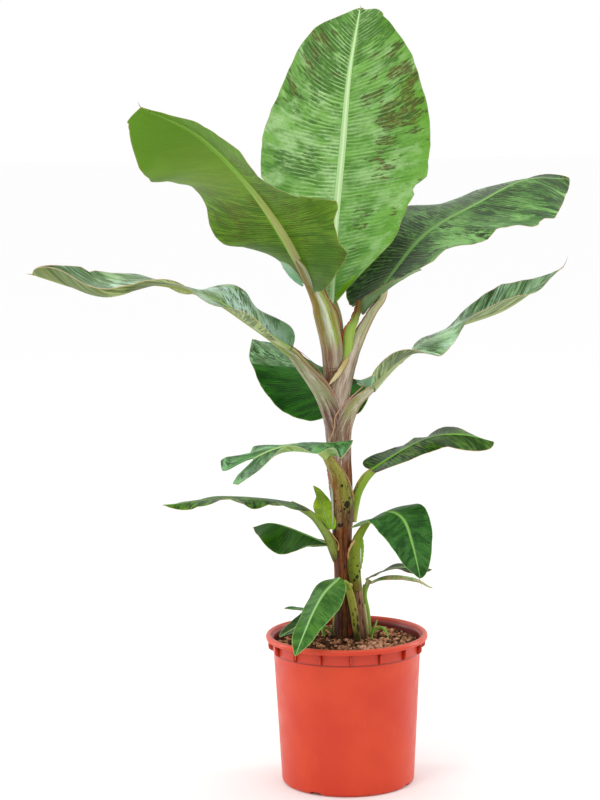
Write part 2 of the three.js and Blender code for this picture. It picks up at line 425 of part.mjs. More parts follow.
function blade(b, grow) {
  const reach = b.rib.slice(1).reduce((sum, p, i) => sum + V(p).distanceTo(V(b.rib[i])), 0);
  const size = reach < BLADE_SHORT[0] ? 2 : reach < BLADE_SHORT[1] ? 1 : 0;
  const rows = bladeGrid(b, BLADE_ALONG[size], BLADE_ACROSS[size]);
  const n = rows.length, m = rows[0].length, mid = (m - 1) / 2;
  const up = [], down = [];
  for (let i = 0; i < n; i++) {
    up.push([]); down.push([]);
    for (let j = 0; j < m; j++) {
      const di = rows[Math.min(n - 1, i + 1)][j].clone().sub(rows[Math.max(0, i - 1)][j]);
      const dj = rows[i][Math.min(m - 1, j + 1)].clone().sub(rows[i][Math.max(0, j - 1)]);
      const nn = dj.cross(di).normalize();
      const p = rows[i][j].clone();
      if (grow > 0) {
        if (j === 0 || j === m - 1) p.add(p.clone().sub(rows[i][j === 0 ? 1 : m - 2]).setLength(grow));
        if (i === 0 || i === n - 1) p.add(p.clone().sub(rows[i === 0 ? 1 : n - 2][j]).setLength(grow));
      }
      const rib = j === mid ? b.ribThick * (1 - i / (n - 1)) : 0;
      up[i].push(p.clone().addScaledVector(nn, BLADE_HALF + grow));
      down[i].push(p.clone().addScaledVector(nn, -(BLADE_HALF + grow + rib)));
    }
  }
  const pos = [], idx = [];
  for (const layer of [up, down]) for (const row of layer) for (const p of row) pos.push(p.x, p.y, p.z);
  const U = (i, j) => i * m + j, D = (i, j) => n * m + i * m + j;
  for (let i = 0; i + 1 < n; i++) {
    for (let j = 0; j + 1 < m; j++) {
      idx.push(U(i, j), U(i, j + 1), U(i + 1, j + 1), U(i, j), U(i + 1, j + 1), U(i + 1, j));
      idx.push(D(i, j), D(i + 1, j + 1), D(i, j + 1), D(i, j), D(i + 1, j), D(i + 1, j + 1));
    }
  }
  for (let i = 0; i + 1 < n; i++) {
    idx.push(U(i, 0), U(i + 1, 0), D(i + 1, 0), U(i, 0), D(i + 1, 0), D(i, 0));
    idx.push(U(i, m - 1), D(i + 1, m - 1), U(i + 1, m - 1), U(i, m - 1), D(i, m - 1), D(i + 1, m - 1));
  }
  for (let j = 0; j + 1 < m; j++) {
    idx.push(U(0, j), D(0, j + 1), U(0, j + 1), U(0, j), D(0, j), D(0, j + 1));
    idx.push(U(n - 1, j), U(n - 1, j + 1), D(n - 1, j + 1), U(n - 1, j), D(n - 1, j + 1), D(n - 1, j));
  }
  const g = new THREE.BufferGeometry();
  g.setAttribute('position', new THREE.Float32BufferAttribute(pos, 3));
  g.setIndex(idx);
  return solid(g);
}

// ---------------------------------------------------------------- pot and soil
function potBody() {
  const H = POT_HEIGHT, shoulder = H - POT_BAND_H;
  const profile = [[0, 0], [POT_BASE_R - POT_CORNER, 0]];
  for (const a of [30, 60, 90]) {
    const t = (a * Math.PI) / 180;
    profile.push([POT_BASE_R - POT_CORNER + POT_CORNER * Math.sin(t), POT_CORNER - POT_CORNER * Math.cos(t)]);
  }
  profile.push([POT_BODY_R, shoulder], [POT_BAND_R, shoulder + 2], [POT_BAND_R, H - POT_LIP_H],
    [POT_RIM_R - 3, H - POT_LIP_H], [POT_RIM_R, H - POT_LIP_H + 4], [POT_RIM_R - 1, H - 3], [POT_RIM_R - 5, H],
    [POT_RIM_R - 10, H - 1], [POT_BAND_R - POT_WALL, H - 6],
    [POT_BAND_R - POT_WALL, shoulder + 2], [POT_BODY_R - POT_WALL, shoulder], [POT_BASE_R - POT_WALL, POT_CORNER + 2],
    [POT_BASE_R - POT_CORNER, POT_FLOOR], [0, POT_FLOOR]);
  let body = solid(new THREE.LatheGeometry(profile.map(([r, z]) => new THREE.Vector2(r, z)), POT_SEGMENTS).rotateX(Math.PI / 2));
  for (let i = 0; i < POT_FINS; i++) {
    const fin = new THREE.BoxGeometry(POT_FIN_R - POT_BAND_R + 1, POT_FIN_T, POT_FIN_H);
    fin.translate((POT_FIN_R + POT_BAND_R - 1) / 2, 0, H - POT_LIP_H - POT_FIN_H / 2 + 0.5);
    fin.rotateZ(THREE.MathUtils.degToRad(POT_FIN_TURN + (360 / POT_FINS) * i));
    body = body.add(solid(fin));
  }
  return body;
}

function soilHeight(x, y) {
  const r = Math.hypot(x, y);
  return SOIL_TOP + SOIL_MOUND * Math.exp(-Math.pow(r / 70, 2))
    + SOIL_ROUGH * Math.sin(x * 0.061 + 1.3) * Math.cos(y * 0.053 - 0.4) + SOIL_ROUGH * 0.6 * Math.sin((x - y) * 0.11);
}

function soilBody(grow) {
  const shoulder = POT_HEIGHT - POT_BAND_H;
  const inset = POT_WALL + GAP;
  const levels = [[POT_BASE_R - POT_CORNER - 1, POT_FLOOR + GAP], [POT_BASE_R - inset, POT_CORNER + 3],
    [POT_BODY_R - inset, shoulder], [POT_BAND_R - inset, shoulder + 2]];
  const n = 32;
  const rings = levels.map(([r, z]) => Array.from({ length: n }, (_, j) => {
    const a = (2 * Math.PI * j) / n;
    return new THREE.Vector3(r * Math.cos(a), r * Math.sin(a), z);
  }));
  for (const share of [1, 0.8, 0.55, 0.3]) {
    const r = (POT_BAND_R - inset) * share;
    rings.push(Array.from({ length: n }, (_, j) => {
      const a = (2 * Math.PI * j) / n;
      const x = r * Math.cos(a), y = r * Math.sin(a);
      return new THREE.Vector3(x, y, soilHeight(x, y) + grow);
    }));
  }
  return solid(skin(rings));
}

// ---------------------------------------------------------------- assembly
const GREEN = { color: 0x4c7d33, roughness: 0.5 };
const MATERIALS = {
  pot: { color: 0xd4513a, roughness: 0.45 },
  soil: { color: 0x3d261b, roughness: 1.0 },
  stem: { color: 0x6b4c3c, roughness: 0.6 },
  stalk: { color: 0x8a8a52, roughness: 0.5 },
  blade: GREEN,
};

const plant = new THREE.Group();
plant.name = 'banana_plant';

function put(name, body, look) {
  const mesh = new THREE.Mesh(geometryOf(body), new THREE.MeshStandardMaterial({ ...MATERIALS[look], metalness: 0 }));
  mesh.name = name;
  plant.add(mesh);
}

// every piece gives way to the pieces placed before it
const placed = [];
function boxesMeet(a, b) {
  const p = a.boundingBox(), q = b.boundingBox();
  return [0, 1, 2].every((k) => p.min[k] <= q.max[k] + 1 && q.min[k] <= p.max[k] + 1);
}
function place(name, make, look) {
  let body = make(0);
  for (const other of placed) {
    if (boxesMeet(body, other.grown)) body = body.subtract(other.grown);
  }
  body = largest(body);
  placed.push({ name, grown: make(GAP) });
  put(name, body, look);
}

put('pot', potBody(), 'pot');
const soil = soilBody(0);
put('soil', soil, 'soil');
placed.push({ name: 'soil', grown: soilBody(GAP) });

for (const [name, rows] of Object.entries(LIMBS)) {
  const own = name.startsWith('petiole_') ? BLADES['leaf_' + name.slice(8)] : null;
  const path = own ? [[...own.rib[0], rows[0][3]], ...rows.slice(1)] : rows;
  place(name, (grow) => limb(path, grow), name.startsWith('stem_') ? 'stem' : 'stalk');
}
for (const [name, b] of Object.entries(BLADES)) place(name, (grow) => blade(b, grow), 'blade');

export default plant;
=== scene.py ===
"""A young banana plant in a ribbed nursery pot. Metres, +Z up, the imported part's own frame."""
import math
import bpy
import numpy as np
from mathutils import Matrix


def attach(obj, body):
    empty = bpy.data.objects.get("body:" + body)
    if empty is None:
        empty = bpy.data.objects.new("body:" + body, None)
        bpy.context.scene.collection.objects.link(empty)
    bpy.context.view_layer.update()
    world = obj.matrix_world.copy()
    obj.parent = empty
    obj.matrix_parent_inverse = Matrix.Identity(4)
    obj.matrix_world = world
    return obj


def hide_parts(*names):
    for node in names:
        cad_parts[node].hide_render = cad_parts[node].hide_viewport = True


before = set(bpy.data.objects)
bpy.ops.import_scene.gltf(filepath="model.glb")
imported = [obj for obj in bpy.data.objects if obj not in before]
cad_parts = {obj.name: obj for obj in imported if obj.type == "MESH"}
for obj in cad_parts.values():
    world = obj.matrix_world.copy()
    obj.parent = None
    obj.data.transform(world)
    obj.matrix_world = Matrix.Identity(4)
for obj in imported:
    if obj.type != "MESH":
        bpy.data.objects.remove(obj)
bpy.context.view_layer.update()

# ------------------------------------------------------------------ sizes
POT_RIM_R, POT_HEIGHT, POT_LIP_H = 0.155, 0.290, 0.011
POT_BAND_R, POT_BAND_H, POT_BODY_R, POT_BASE_R = 0.1426, 0.034, 0.1406, 0.1277
POT_CORNER, POT_WALL, POT_FLOOR = 0.008, 0.003, 0.0035
FIN_R, FIN_H, FIN_T, FINS, FIN_TURN = 0.151, 0.017, 0.0026, 16, 1.65
SOIL_TOP, SOIL_MOUND, SOIL_ROUGH = 0.271, 0.005, 0.0016

# Limbs: x, y, z, radius in mm. Blades: see blade_surface().
LIMBS = {
    "stem_main": [[-3, 0, 272, 17.4], [-5, 0, 343, 16.4], [-5, 0, 402, 16.3], [-6, 0, 460, 17.7], [-6, 0, 518, 19.1], [-7, 0, 586, 20.5], [-9, 0, 644, 21.4], [-11, 0, 692, 23.7], [-12, 0, 732, 20.9], [-13, 0, 768, 15.2]],
    "stem_right": [[33, 4, 273, 10.6], [29, 2, 323, 10.6], [23, -2, 372, 11.1], [19, -6, 422, 10.5], [20, -8, 461, 10.5], [25, -8, 486, 6.7]],
    "stem_front": [[19, -30, 297, 6.7], [12, -28, 335, 6.7], [6, -26, 364, 7.2], [3, -26, 389, 5.7]],
    "stem_back": [[43, 22, 281, 5.8], [40, 22, 324, 5.8], [35, 22, 355, 5.3], [38, 22, 377, 5.8]],
    "stem_left": [[-24, 12, 272, 4.8], [-22, 12, 307, 4.8], [-18, 10, 339, 4.3], [-20, 8, 371, 3.9]],
    "petiole_1": [[-21, 30, 916, 7.6], [-14, 26, 871, 10.5], [-9, 20, 829, 13.3], [-8, 12, 780, 15.2], [-10, 6, 739, 16.1]],
    "petiole_2": [[-50, -24, 929, 12.2], [-37, -24, 902, 15.0], [-24, -24, 870, 17.9], [-22, -22, 834, 18.8], [-23, -20, 803, 17.0], [-25, -18, 773, 11.3], [-25, -14, 742, 5.7]],
    "petiole_3": [[80, 30, 949, 8.6], [55, 20, 914, 10.4], [34, 8, 876, 13.3], [19, -2, 843, 16.1], [6, -8, 805, 18.9], [-6, -12, 768, 20.8], [-12, -12, 732, 18.9]],
    "petiole_4": [[53, -4, 760, 5.7], [35, -10, 742, 8.5], [18, -16, 724, 12.3], [4, -18, 704, 16.1], [-4, -14, 665, 11.4]],
    "petiole_5": [[-105, -20, 840, 7.5], [-77, -20, 812, 11.3], [-57, -18, 781, 13.2], [-40, -16, 748, 14.2], [-31, -14, 715, 14.2], [-24, -10, 680, 11.4]],
    "petiole_6": [[-12, 40, 707, 8.6], [-8, 32, 681, 11.5], [-7, 22, 650, 13.4], [-5, 12, 613, 11.5]],
    "petiole_7": [[-36, -46, 640, 9.4], [-23, -40, 623, 11.3], [-14, -34, 601, 13.2], [-9, -28, 571, 13.3], [-5, -24, 540, 11.4], [-5, -20, 512, 5.7]],
    "petiole_8": [[54, 12, 599, 6.7], [38, 10, 578, 8.6], [26, 8, 555, 7.6], [20, 6, 527, 5.7], [18, 4, 496, 3.8]],
    "petiole_9": [[-87, -10, 535, 7.6], [-58, -10, 515, 8.6], [-40, -8, 489, 8.6], [-26, -6, 462, 8.6], [-17, -4, 428, 6.7]],
    "petiole_10": [[-28, 8, 453, 3.8], [-21, 8, 437, 5.8], [-15, 6, 414, 5.8]],
    "petiole_12": [[38, -26, 503, 5.7], [29, -20, 487, 7.6], [23, -14, 466, 7.6]],
    "petiole_13": [[44, 20, 387, 4.8], [38, 22, 371, 4.8]],
    "petiole_14": [[-7, -62, 403, 3.3], [1, -45, 395, 3.8], [5, -34, 383, 4.8]],
}

BLADES = {
    "leaf_1": dict(
        rib=[[-21, 13, 922], [-12, 65, 1071], [4, 117, 1214], [19, 170, 1350], [43, 224, 1480]],
        roll=[0.68, 0.36, 0.27, 0.33, 0.43],
        fold=[[-0.39, -0.24, -0.03, -0.03, 0.11], [-0.02, -0.14, -0.34, -0.39, -0.38]],
        curl=[[0.17, 0.18, 0.34, 0.48, 0.43, 0.35, 0.5, 0.18], [0.5, 0.07, 0.29, 0.11, -0.05, -0.17, -0.15, -0.23]],
        width=[169, 170], widest=0.53, lobe=[0.02, 0.25], back=[0.19, 0.15], foot=[1.86, 2.03], tip=[1.86, 1.39],
        ribThick=6.0,
    ),
    "leaf_2": dict(
        rib=[[-49, -12, 924], [-107, -93, 1049], [-173, -182, 1156], [-257, -274, 1248], [-351, -362, 1298]],
        roll=[0.68, 0.1, 0.18, -0.08, -0.38],
        fold=[[-0.34, 0.19, -0.03, -0.45, -0.48], [-0.07, -0.3, -0.35, -0.42, -0.37]],
        curl=[[-0.27, 0.02, -0.37, 0.37, -0.04, -0.04, 0.2, -0.32], [0.08, 0.72, 0.01, 0.39, 0.14, -0.31, -0.7, -0.19]],
        width=[145, 144], widest=0.54, lobe=[0.02, 0.29], back=[0.4, -0.35], foot=[2.16, 2.08], tip=[2.79, 1.34],
        ribThick=6.5,
    ),
    "leaf_3": dict(
        rib=[[76, 4, 956], [162, 103, 1046], [268, 195, 1099], [370, 285, 1140], [468, 372, 1137]],
        roll=[0.44, 0.06, -0.02, 0.03, -0.32],
        fold=[[0.13, 0.34, 0.07, -0.04, -0.07], [-0.12, -0.16, -0.26, -0.33, -0.29]],
        curl=[[-0.08, -0.02, -0.32, -0.22, -0.46, -0.21, -0.56, -0.02], [-0.08, 0.13, 0.02, 0.21, -0.07, -0.33, -0.5, -0.41]],
        width=[146, 145], widest=0.55, lobe=[0.32, 0.13], back=[-0.8, -0.51], foot=[1.76, 2.08], tip=[1.37, 1.24],
        ribThick=6.0,
    ),
    "leaf_4": dict(
        rib=[[51, -32, 765], [118, 51, 816], [210, 116, 862], [327, 182, 896], [439, 246, 966]],
        roll=[0.69, 0.36, 0.51, 0.11, 0.11], fold=[[0.97, 0.0, 0.25, 0.44, 0.0], [0.54, -0.06, -0.04, 0.47, 0.13]],
        curl=[[-0.2, -0.29, -0.23, 0.19, -0.07, 0.81, 0.76, -0.02], [-0.4, 0.02, -0.83, -0.34, -0.06, -0.08, -0.45, 0.24]],
        width=[83, 82], widest=0.4, lobe=[0.37, 0.42], back=[0.04, -0.4], foot=[1.05, 2.38], tip=[1.47, 1.06],
        ribThick=4.5,
    ),
    "leaf_5": dict(
       
        rib=[[-101, -48, 839], [-169, -111, 896], [-248, -145, 951], [-345, -162, 979], [-449, -179, 968], [-563, -194, 1000]],
        roll=[0.65, 0.89, 0.4, 0.62, 0.16], fold=[[0.44, 0.51, 0.42, -0.14, 0.64], [0.33, -0.15, -0.1, -0.26, 0.36]],
        curl=[[0.1, 0.48, 0.76, -0.27, 0.51, 1.62, 1.43, 0.97], [0.08, -0.61, 0.0, -0.9, -0.37, 0.36, 1.01, 1.24]],
        width=[87, 81], widest=0.47, lobe=[0.15, 0.44], back=[-0.42, -0.39], foot=[2.69, 2.03], tip=[1.37, 1.99],
        ribThick=5.5,
    ),
    "leaf_6": dict(
        rib=[[-14, 2, 716], [-38, 123, 742], [-63, 243, 765], [-88, 363, 783], [-114, 485, 798]],
        roll=[0.07, 0.12, 0.02, -0.19, -0.12],
        fold=[[-0.37, -0.13, 0.06, 0.07, 0.0], [-0.17, -0.01, -0.04, -0.44, -0.63]],
        curl=[[-0.04, -0.09, -0.03, 0.08, 0.0, 0.19, 0.15, -0.08], [-0.28, -0.07, 0.09, 0.26, 0.34, 0.33, 0.33, 0.4]],
        width=[119, 119], widest=0.54, lobe=[0.18, 0.08], back=[-0.07, -0.52], foot=[1.64, 1.71], tip=[2.0, 1.14],
        ribThick=5.5,
    ),
    "leaf_7": dict(
        rib=[[-34, -42, 640], [-69, -96, 670], [-105, -147, 677], [-150, -198, 670], [-191, -245, 654]],
        roll=[0.3, -0.01, 0.16, 0.14, -0.64], fold=[[0.56, 0.41, 0.15, -0.1, -0.64], [0.01, -0.5, -0.25, 0.01, 0.52]],
        curl=[[-0.82, -0.11, -1.18, -0.19, 0.14, 1.19, 0.57, 0.16], [0.33, 0.53, 0.53, -0.61, -0.21, -0.99, -0.03, -0.22]],
        width=[86, 79], widest=0.29, lobe=[0.02, 0.32], back=[-0.01, -0.5], foot=[2.63, 1.38], tip=[1.63, 1.14],
        ribThick=4.0, cut=0.44, fwd=[1.92, 0.95],
    ),
    "leaf_8": dict(
        rib=[[54, 10, 603], [112, 33, 638], [172, 56, 659], [231, 76, 659], [290, 94, 642]],
        roll=[-0.11, 0.18, 0.15, -0.04, 0.26],
        fold=[[0.17, -0.04, -0.1, 0.33, 0.11], [0.39, -0.32, -0.18, -0.52, -0.69]],
        curl=[[-0.09, 0.26, 0.25, 0.25, -0.08, -0.41, -0.59, -0.62], [-0.26, -0.06, -0.05, -0.53, -0.45, -0.2, -0.71, -0.75]],
        width=[57, 55], widest=0.2, lobe=[0.45, 0.44], back=[-0.33, -0.58], foot=[2.37, 2.34], tip=[2.25, 1.76],
        ribThick=3.5,
    ),
    "leaf_9": dict(
        rib=[[-100, 16, 540], [-157, -19, 555], [-217, -50, 564], [-279, -76, 561], [-341, -101, 560]],
        roll=[-0.34, -0.21, -0.19, -0.26, 0.2],
        fold=[[-0.19, 0.03, -0.06, -0.21, -0.44], [-0.14, 0.08, 0.14, 0.19, -0.81]],
        curl=[[-0.56, -0.67, -0.52, -0.76, 0.06, -0.16, -0.5, -0.67], [0.15, -0.13, -0.57, -0.31, -0.16, -0.19, 0.13, -0.05]],
        width=[59, 55], widest=0.38, lobe=[0.64, 0.26], back=[-0.73, -0.17], foot=[2.13, 1.94], tip=[1.66, 1.05],
        ribThick=3.5,
    ),
    "leaf_10": dict(
        rib=[[-28, -3, 461], [-71, 29, 475], [-110, 61, 486], [-146, 93, 488], [-179, 123, 474]],
        roll=[-0.38, 0.19, 0.15, -0.45, -0.41],
        fold=[[-0.52, -0.67, -1.03, -1.06, -1.23], [-0.55, -0.76, -1.13, -0.55, 0.16]],
        curl=[[0.79, 0.93, 0.65, 0.34, 0.18, 0.11, -0.04, 0.03], [-0.18, 0.37, 0.42, 0.68, 0.64, 0.54, 0.23, 0.12]],
        width=[59, 58], widest=0.51, lobe=[0.49, 0.03], back=[-0.22, -0.7], foot=[1.68, 2.15], tip=[1.86, 0.91],
        ribThick=2.5,
    ),
    "leaf_12": dict(
        rib=[[41, -38, 513], [79, -62, 534], [107, -90, 524], [122, -121, 482], [134, -152, 425]],
        roll=[-0.58, -0.46, -0.43, -0.22, -0.39],
        fold=[[-0.46, -0.11, -0.16, -0.08, 0.26], [0.07, 0.1, -0.37, -0.16, 0.42]],
        curl=[[-0.33, -0.2, -0.07, 0.48, 0.45, 0.6, 0.41, 0.39], [0.71, 0.45, 0.13, 0.15, 0.2, 0.22, -0.01, 0.48]],
        width=[54, 56], widest=0.4, lobe=[0.47, 0.54], back=[-0.26, -0.83], foot=[1.83, 1.81], tip=[1.2, 1.73],
        ribThick=2.8,
    ),
    "leaf_14": dict(
        rib=[[-14, -86, 414], [-42, -112, 393], [-63, -142, 365], [-81, -173, 330], [-98, -205, 294]],
        roll=[-0.19, 0.08, -0.07, 0.0, -0.01],
        fold=[[-0.54, -0.71, -0.78, -0.36, 0.1], [0.3, -0.1, -0.17, 0.19, 0.33]],
        curl=[[-0.08, -0.29, -0.37, -0.45, -0.3, -0.17, -0.54, 0.06], [-0.8, 0.2, 0.01, 0.47, 0.54, 0.47, 0.86, 0.93]],
        width=[38, 36], widest=0.27, lobe=[0.08, 0.16], back=[-0.33, -0.87], foot=[2.13, 1.56], tip=[1.39, 1.74],
        ribThick=2.2,
    ),
    "leaf_13a": dict(
        rib=[[37, 10, 391], [68, 20, 404], [100, 28, 409], [133, 34, 407], [166, 39, 402]],
        roll=[0.29, 0.24, 0.03, -0.3, 0.31],
        fold=[[0.13, -0.31, 0.12, -0.38, -0.01], [0.24, -0.16, -0.08, -0.41, -0.48]],
        curl=[[-0.02, -0.22, 0.33, 0.28, 0.28, 0.21, 0.4, 0.77], [-0.6, -0.27, 0.09, 0.19, -0.07, 0.15, -0.14, 0.12]],
        width=[20, 19], widest=0.49, lobe=[0.27, 0.35], back=[0.1, -0.37], foot=[1.86, 1.49], tip=[1.88, 1.76],
        ribThick=1.2,
    ),
    "leaf_13b": dict(
        rib=[[44, 37, 379], [72, 25, 393], [102, 11, 397], [133, -5, 392], [164, -21, 379]],
        roll=[-0.31, 0.11, -0.1, 0.12, 0.25],
        fold=[[-0.51, -0.26, -0.29, -0.16, -0.37], [-0.42, -0.41, -0.3, -0.33, -0.4]],
        curl=[[0.25, -0.01, 0.45, -0.03, -0.05, 0.08, 0.11, -0.04], [0.25, 0.19, -0.03, 0.16, 0.35, 0.33, 0.63, -0.3]],
        width=[19, 19], widest=0.47, lobe=[0.39, 0.15], back=[-0.39, -0.23], foot=[1.55, 2.37], tip=[2.21, 1.36],
        ribThick=1.2,
    ),
    "leaf_15a": dict(
        rib=[[-32, -3, 355], [-53, -27, 341], [-76, -51, 327], [-101, -73, 315], [-127, -93, 304]],
        roll=[-0.21, -0.28, -0.53, 0.01, -0.4],
        fold=[[-0.08, 0.3, 0.22, 0.37, 0.16], [-0.17, 0.43, 0.45, 0.17, 0.33]],
        curl=[[0.17, -0.23, 0.35, 0.16, 0.46, -0.14, -0.37, -0.09], [0.16, 0.47, -0.05, 0.33, 0.39, 0.05, 0.22, 0.33]],
        width=[23, 23], widest=0.45, lobe=[0.28, 0.48], back=[-0.47, -0.38], foot=[2.12, 1.82], tip=[1.44, 1.75],
        ribThick=1.2,
    ),
    "leaf_15b": dict(
        rib=[[-31, 17, 349], [-53, 3, 341], [-75, -10, 337], [-97, -23, 341], [-119, -36, 346]],
        roll=[0.63, 0.01, 0.0, 0.09, -0.39], fold=[[0.23, 0.39, 0.17, 0.27, -0.12], [0.62, 0.28, 0.2, 0.4, 0.42]],
        curl=[[0.18, 0.02, -0.13, -0.43, -0.09, -0.21, -0.15, 0.08], [-0.1, 0.11, 0.2, -0.03, -0.02, -0.16, 0.6, 0.29]],
        width=[9, 10], widest=0.46, lobe=[0.53, 0.24], back=[-0.05, -0.61], foot=[2.12, 2.16], tip=[2.24, 1.56],
        ribThick=0.8,
    ),
    "bract_1": dict(
        rib=[[-30, -16, 494], [-37, -7, 514], [-44, 1, 533], [-52, 10, 552], [-60, 19, 572]],
        roll=[0.28, 0.56, 0.14, 0.01, -0.09], fold=[[0.77, 0.56, 0.13, 0.41, 0.45], [0.71, 0.43, 0.64, 0.51, 0.11]],
        curl=[[-0.21, 0.38, -0.08, -0.06, -0.23, 0.63, 0.46, 0.3], [-0.34, 0.16, 0.21, 0.21, 0.44, -0.14, 0.36, 0.0]],
        width=[21, 21], widest=0.43, lobe=[0.26, 0.58], back=[-0.1, -0.57], foot=[1.92, 2.05], tip=[1.76, 1.36],
        ribThick=1.0,
    ),
    "sprout_right_a": dict(
        rib=[[48, 0, 273], [50, 0, 286], [55, 2, 299], [59, 4, 312]], roll=[0, 0, 0, 0, 0],
        fold=[[0.5, 0.5, 0.5, 0.5, 0.5], [0.5, 0.5, 0.5, 0.5, 0.5]],
        curl=[[0.2, 0.2, 0.2, 0.2, 0.2, 0.2, 0.2, 0.2], [0.2, 0.2, 0.2, 0.2, 0.2, 0.2, 0.2, 0.2]], width=[4, 4],
        widest=0.4, lobe=[0.4, 0.4], back=[-0.1, -0.1], foot=[2, 2], tip=[1.5, 1.2], ribThick=0.6,
    ),
    "sprout_right_b": dict(
        rib=[[52, -8, 291], [62, -12, 299], [71, -16, 297], [79, -20, 284]], roll=[0, 0, 0, 0, 0],
        fold=[[0.5, 0.5, 0.5, 0.5, 0.5], [0.5, 0.5, 0.5, 0.5, 0.5]],
        curl=[[0.2, 0.2, 0.2, 0.2, 0.2, 0.2, 0.2, 0.2], [0.2, 0.2, 0.2, 0.2, 0.2, 0.2, 0.2, 0.2]], width=[4, 4],
        widest=0.4, lobe=[0.4, 0.4], back=[-0.1, -0.1], foot=[2, 2], tip=[1.5, 1.2], ribThick=0.6,
    ),
    "sprout_left_a": dict(
        rib=[[-43, 28, 274], [-45, 28, 282], [-45, 27, 290], [-43, 26, 298]], roll=[0, 0, 0, 0, 0],
        fold=[[0.5, 0.5, 0.5, 0.5, 0.5], [0.5, 0.5, 0.5, 0.5, 0.5]],
        curl=[[0.2, 0.2, 0.2, 0.2, 0.2, 0.2, 0.2, 0.2], [0.2, 0.2, 0.2, 0.2, 0.2, 0.2, 0.2, 0.2]], width=[4, 4],
        widest=0.4, lobe=[0.4, 0.4], back=[-0.1, -0.1], foot=[2, 2], tip=[1.5, 1.2], ribThick=0.6,
    ),
    "sprout_left_b": dict(
        rib=[[-26, 24, 279], [-32, 20, 288], [-38, 17, 295], [-45, 14, 299]], roll=[0, 0, 0, 0, 0],
        fold=[[0.5, 0.5, 0.5, 0.5, 0.5], [0.5, 0.5, 0.5, 0.5, 0.5]],
        curl=[[0.2, 0.2, 0.2, 0.2, 0.2, 0.2, 0.2, 0.2], [0.2, 0.2, 0.2, 0.2, 0.2, 0.2, 0.2, 0.2]], width=[4, 4],
        widest=0.4, lobe=[0.4, 0.4], back=[-0.1, -0.1], foot=[2, 2], tip=[1.5, 1.2], ribThick=0.6,
    ),
}


# ------------------------------------------------------------------ splines and frames
FINE = 96


def catmull(P, t):
    P = np.asarray(P, float)
    flat = P.ndim == 1
    if flat:
        P = P[:, None]
    n = len(P)
    Q = np.vstack([2 * P[0] - P[1], P, 2 * P[-1] - P[-2]])
    x = np.clip(np.asarray(t, float), 0, 1) * (n - 1)
    i = np.minimum(np.floor(x).astype(int), n - 2)
    f = (x - i)[:, None]
    a, b, c, d = Q[i], Q[i + 1], Q[i + 2], Q[i + 3]
    r = 0.5 * (2 * b + (-a + c) * f + (2 * a - 5 * b + 4 * c - d) * f * f + (-a + 3 * b - 3 * c + d) * f**3)
    return r[:, 0] if flat else r


def unit(v):
    return v / (np.linalg.norm(v, axis=-1, keepdims=True) + 1e-12)


def frames(C, ref):
    T = unit(np.gradient(C, axis=0))
    N = np.zeros_like(T)
    n = ref - np.dot(ref, T[0]) * T[0]
    N[0] = n / np.linalg.norm(n)
    for i in range(len(C) - 1):
        v1 = C[i + 1] - C[i]
        c1 = v1 @ v1
        nl = N[i] - 2 / c1 * (v1 @ N[i]) * v1
        tl = T[i] - 2 / c1 * (v1 @ T[i]) * v1
        v2 = T[i + 1] - tl
        c2 = v2 @ v2
        n = nl - 2 / c2 * (v2 @ nl) * v2 if c2 > 1e-14 else nl
        n = n - (n @ T[i + 1]) * T[i + 1]
        N[i + 1] = n / np.linalg.norm(n)
    return T, N, np.cross(T, N)


def even(points, steps):
    C = catmull(points, np.linspace(0, 1, steps + 1))
    L = np.r_[0, np.cumsum(np.linalg.norm(np.diff(C[:, :3], axis=0), axis=1))]
    s = np.linspace(0, 1, steps + 1) * L[-1]
    return np.stack([np.interp(s, L, C[:, k]) for k in range(C.shape[1])], -1), L[-1]


# ------------------------------------------------------------------ smooth value noise, seeded
class Wobble:
    """a smooth random function of one or two numbers, always the same for a seed"""

    def __init__(self, seed):
        self.g = np.random.default_rng(seed).uniform(-1, 1, (64, 64))

    def __call__(self, x, y=0.0):
        x, y = np.broadcast_arrays(np.asarray(x, float), np.asarray(y, float))
        i, j = np.floor(x).astype(int), np.floor(y).astype(int)
        f, g = x - i, y - j
        f, g = f * f * (3 - 2 * f), g * g * (3 - 2 * g)
        G = self.g
        a, b = G[i % 64, j % 64], G[(i + 1) % 64, j % 64]
        c, d = G[i % 64, (j + 1) % 64], G[(i + 1) % 64, (j + 1) % 64]
        return (a * (1 - f) + b * f) * (1 - g) + (c * (1 - f) + d * f) * g


# ------------------------------------------------------------------ meshes
def mesh_object(name, co, quads, tris=None, attrs=None, smooth=True):
    me = bpy.data.meshes.new(name)
    co = np.ascontiguousarray(co, np.float32)
    quads = np.asarray(quads, np.int32).reshape(-1, 4)
    tris = np.zeros((0, 3), np.int32) if tris is None else np.asarray(tris, np.int32).reshape(-1, 3)
    me.vertices.add(len(co))
    me.vertices.foreach_set("co", co.ravel())
    loops = np.concatenate([quads.ravel(), tris.ravel()])
    me.loops.add(len(loops))
    me.loops.foreach_set("vertex_index", loops)
    starts = np.concatenate([np.arange(len(quads)) * 4, len(quads) * 4 + np.arange(len(tris)) * 3]).astype(np.int32)
    me.polygons.add(len(starts))
    me.polygons.foreach_set("loop_start", starts)
    me.update(calc_edges=True)
    me.validate()
    if smooth:
        me.polygons.foreach_set("use_smooth", np.ones(len(me.polygons), bool))
    for k, v in (attrs or {}).items():
        a = me.attributes.new(k, "FLOAT", "POINT")
        a.data.foreach_set("value", np.ascontiguousarray(v, np.float32).ravel())
    me.update()
    o = bpy.data.objects.new(name, me)
    bpy.context.scene.collection.objects.link(o)
    return o


def dress(o, mat, nodes=()):
    o.data.materials.append(mat)
    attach(o, "root")
    if nodes:
        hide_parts(*nodes)
    return o


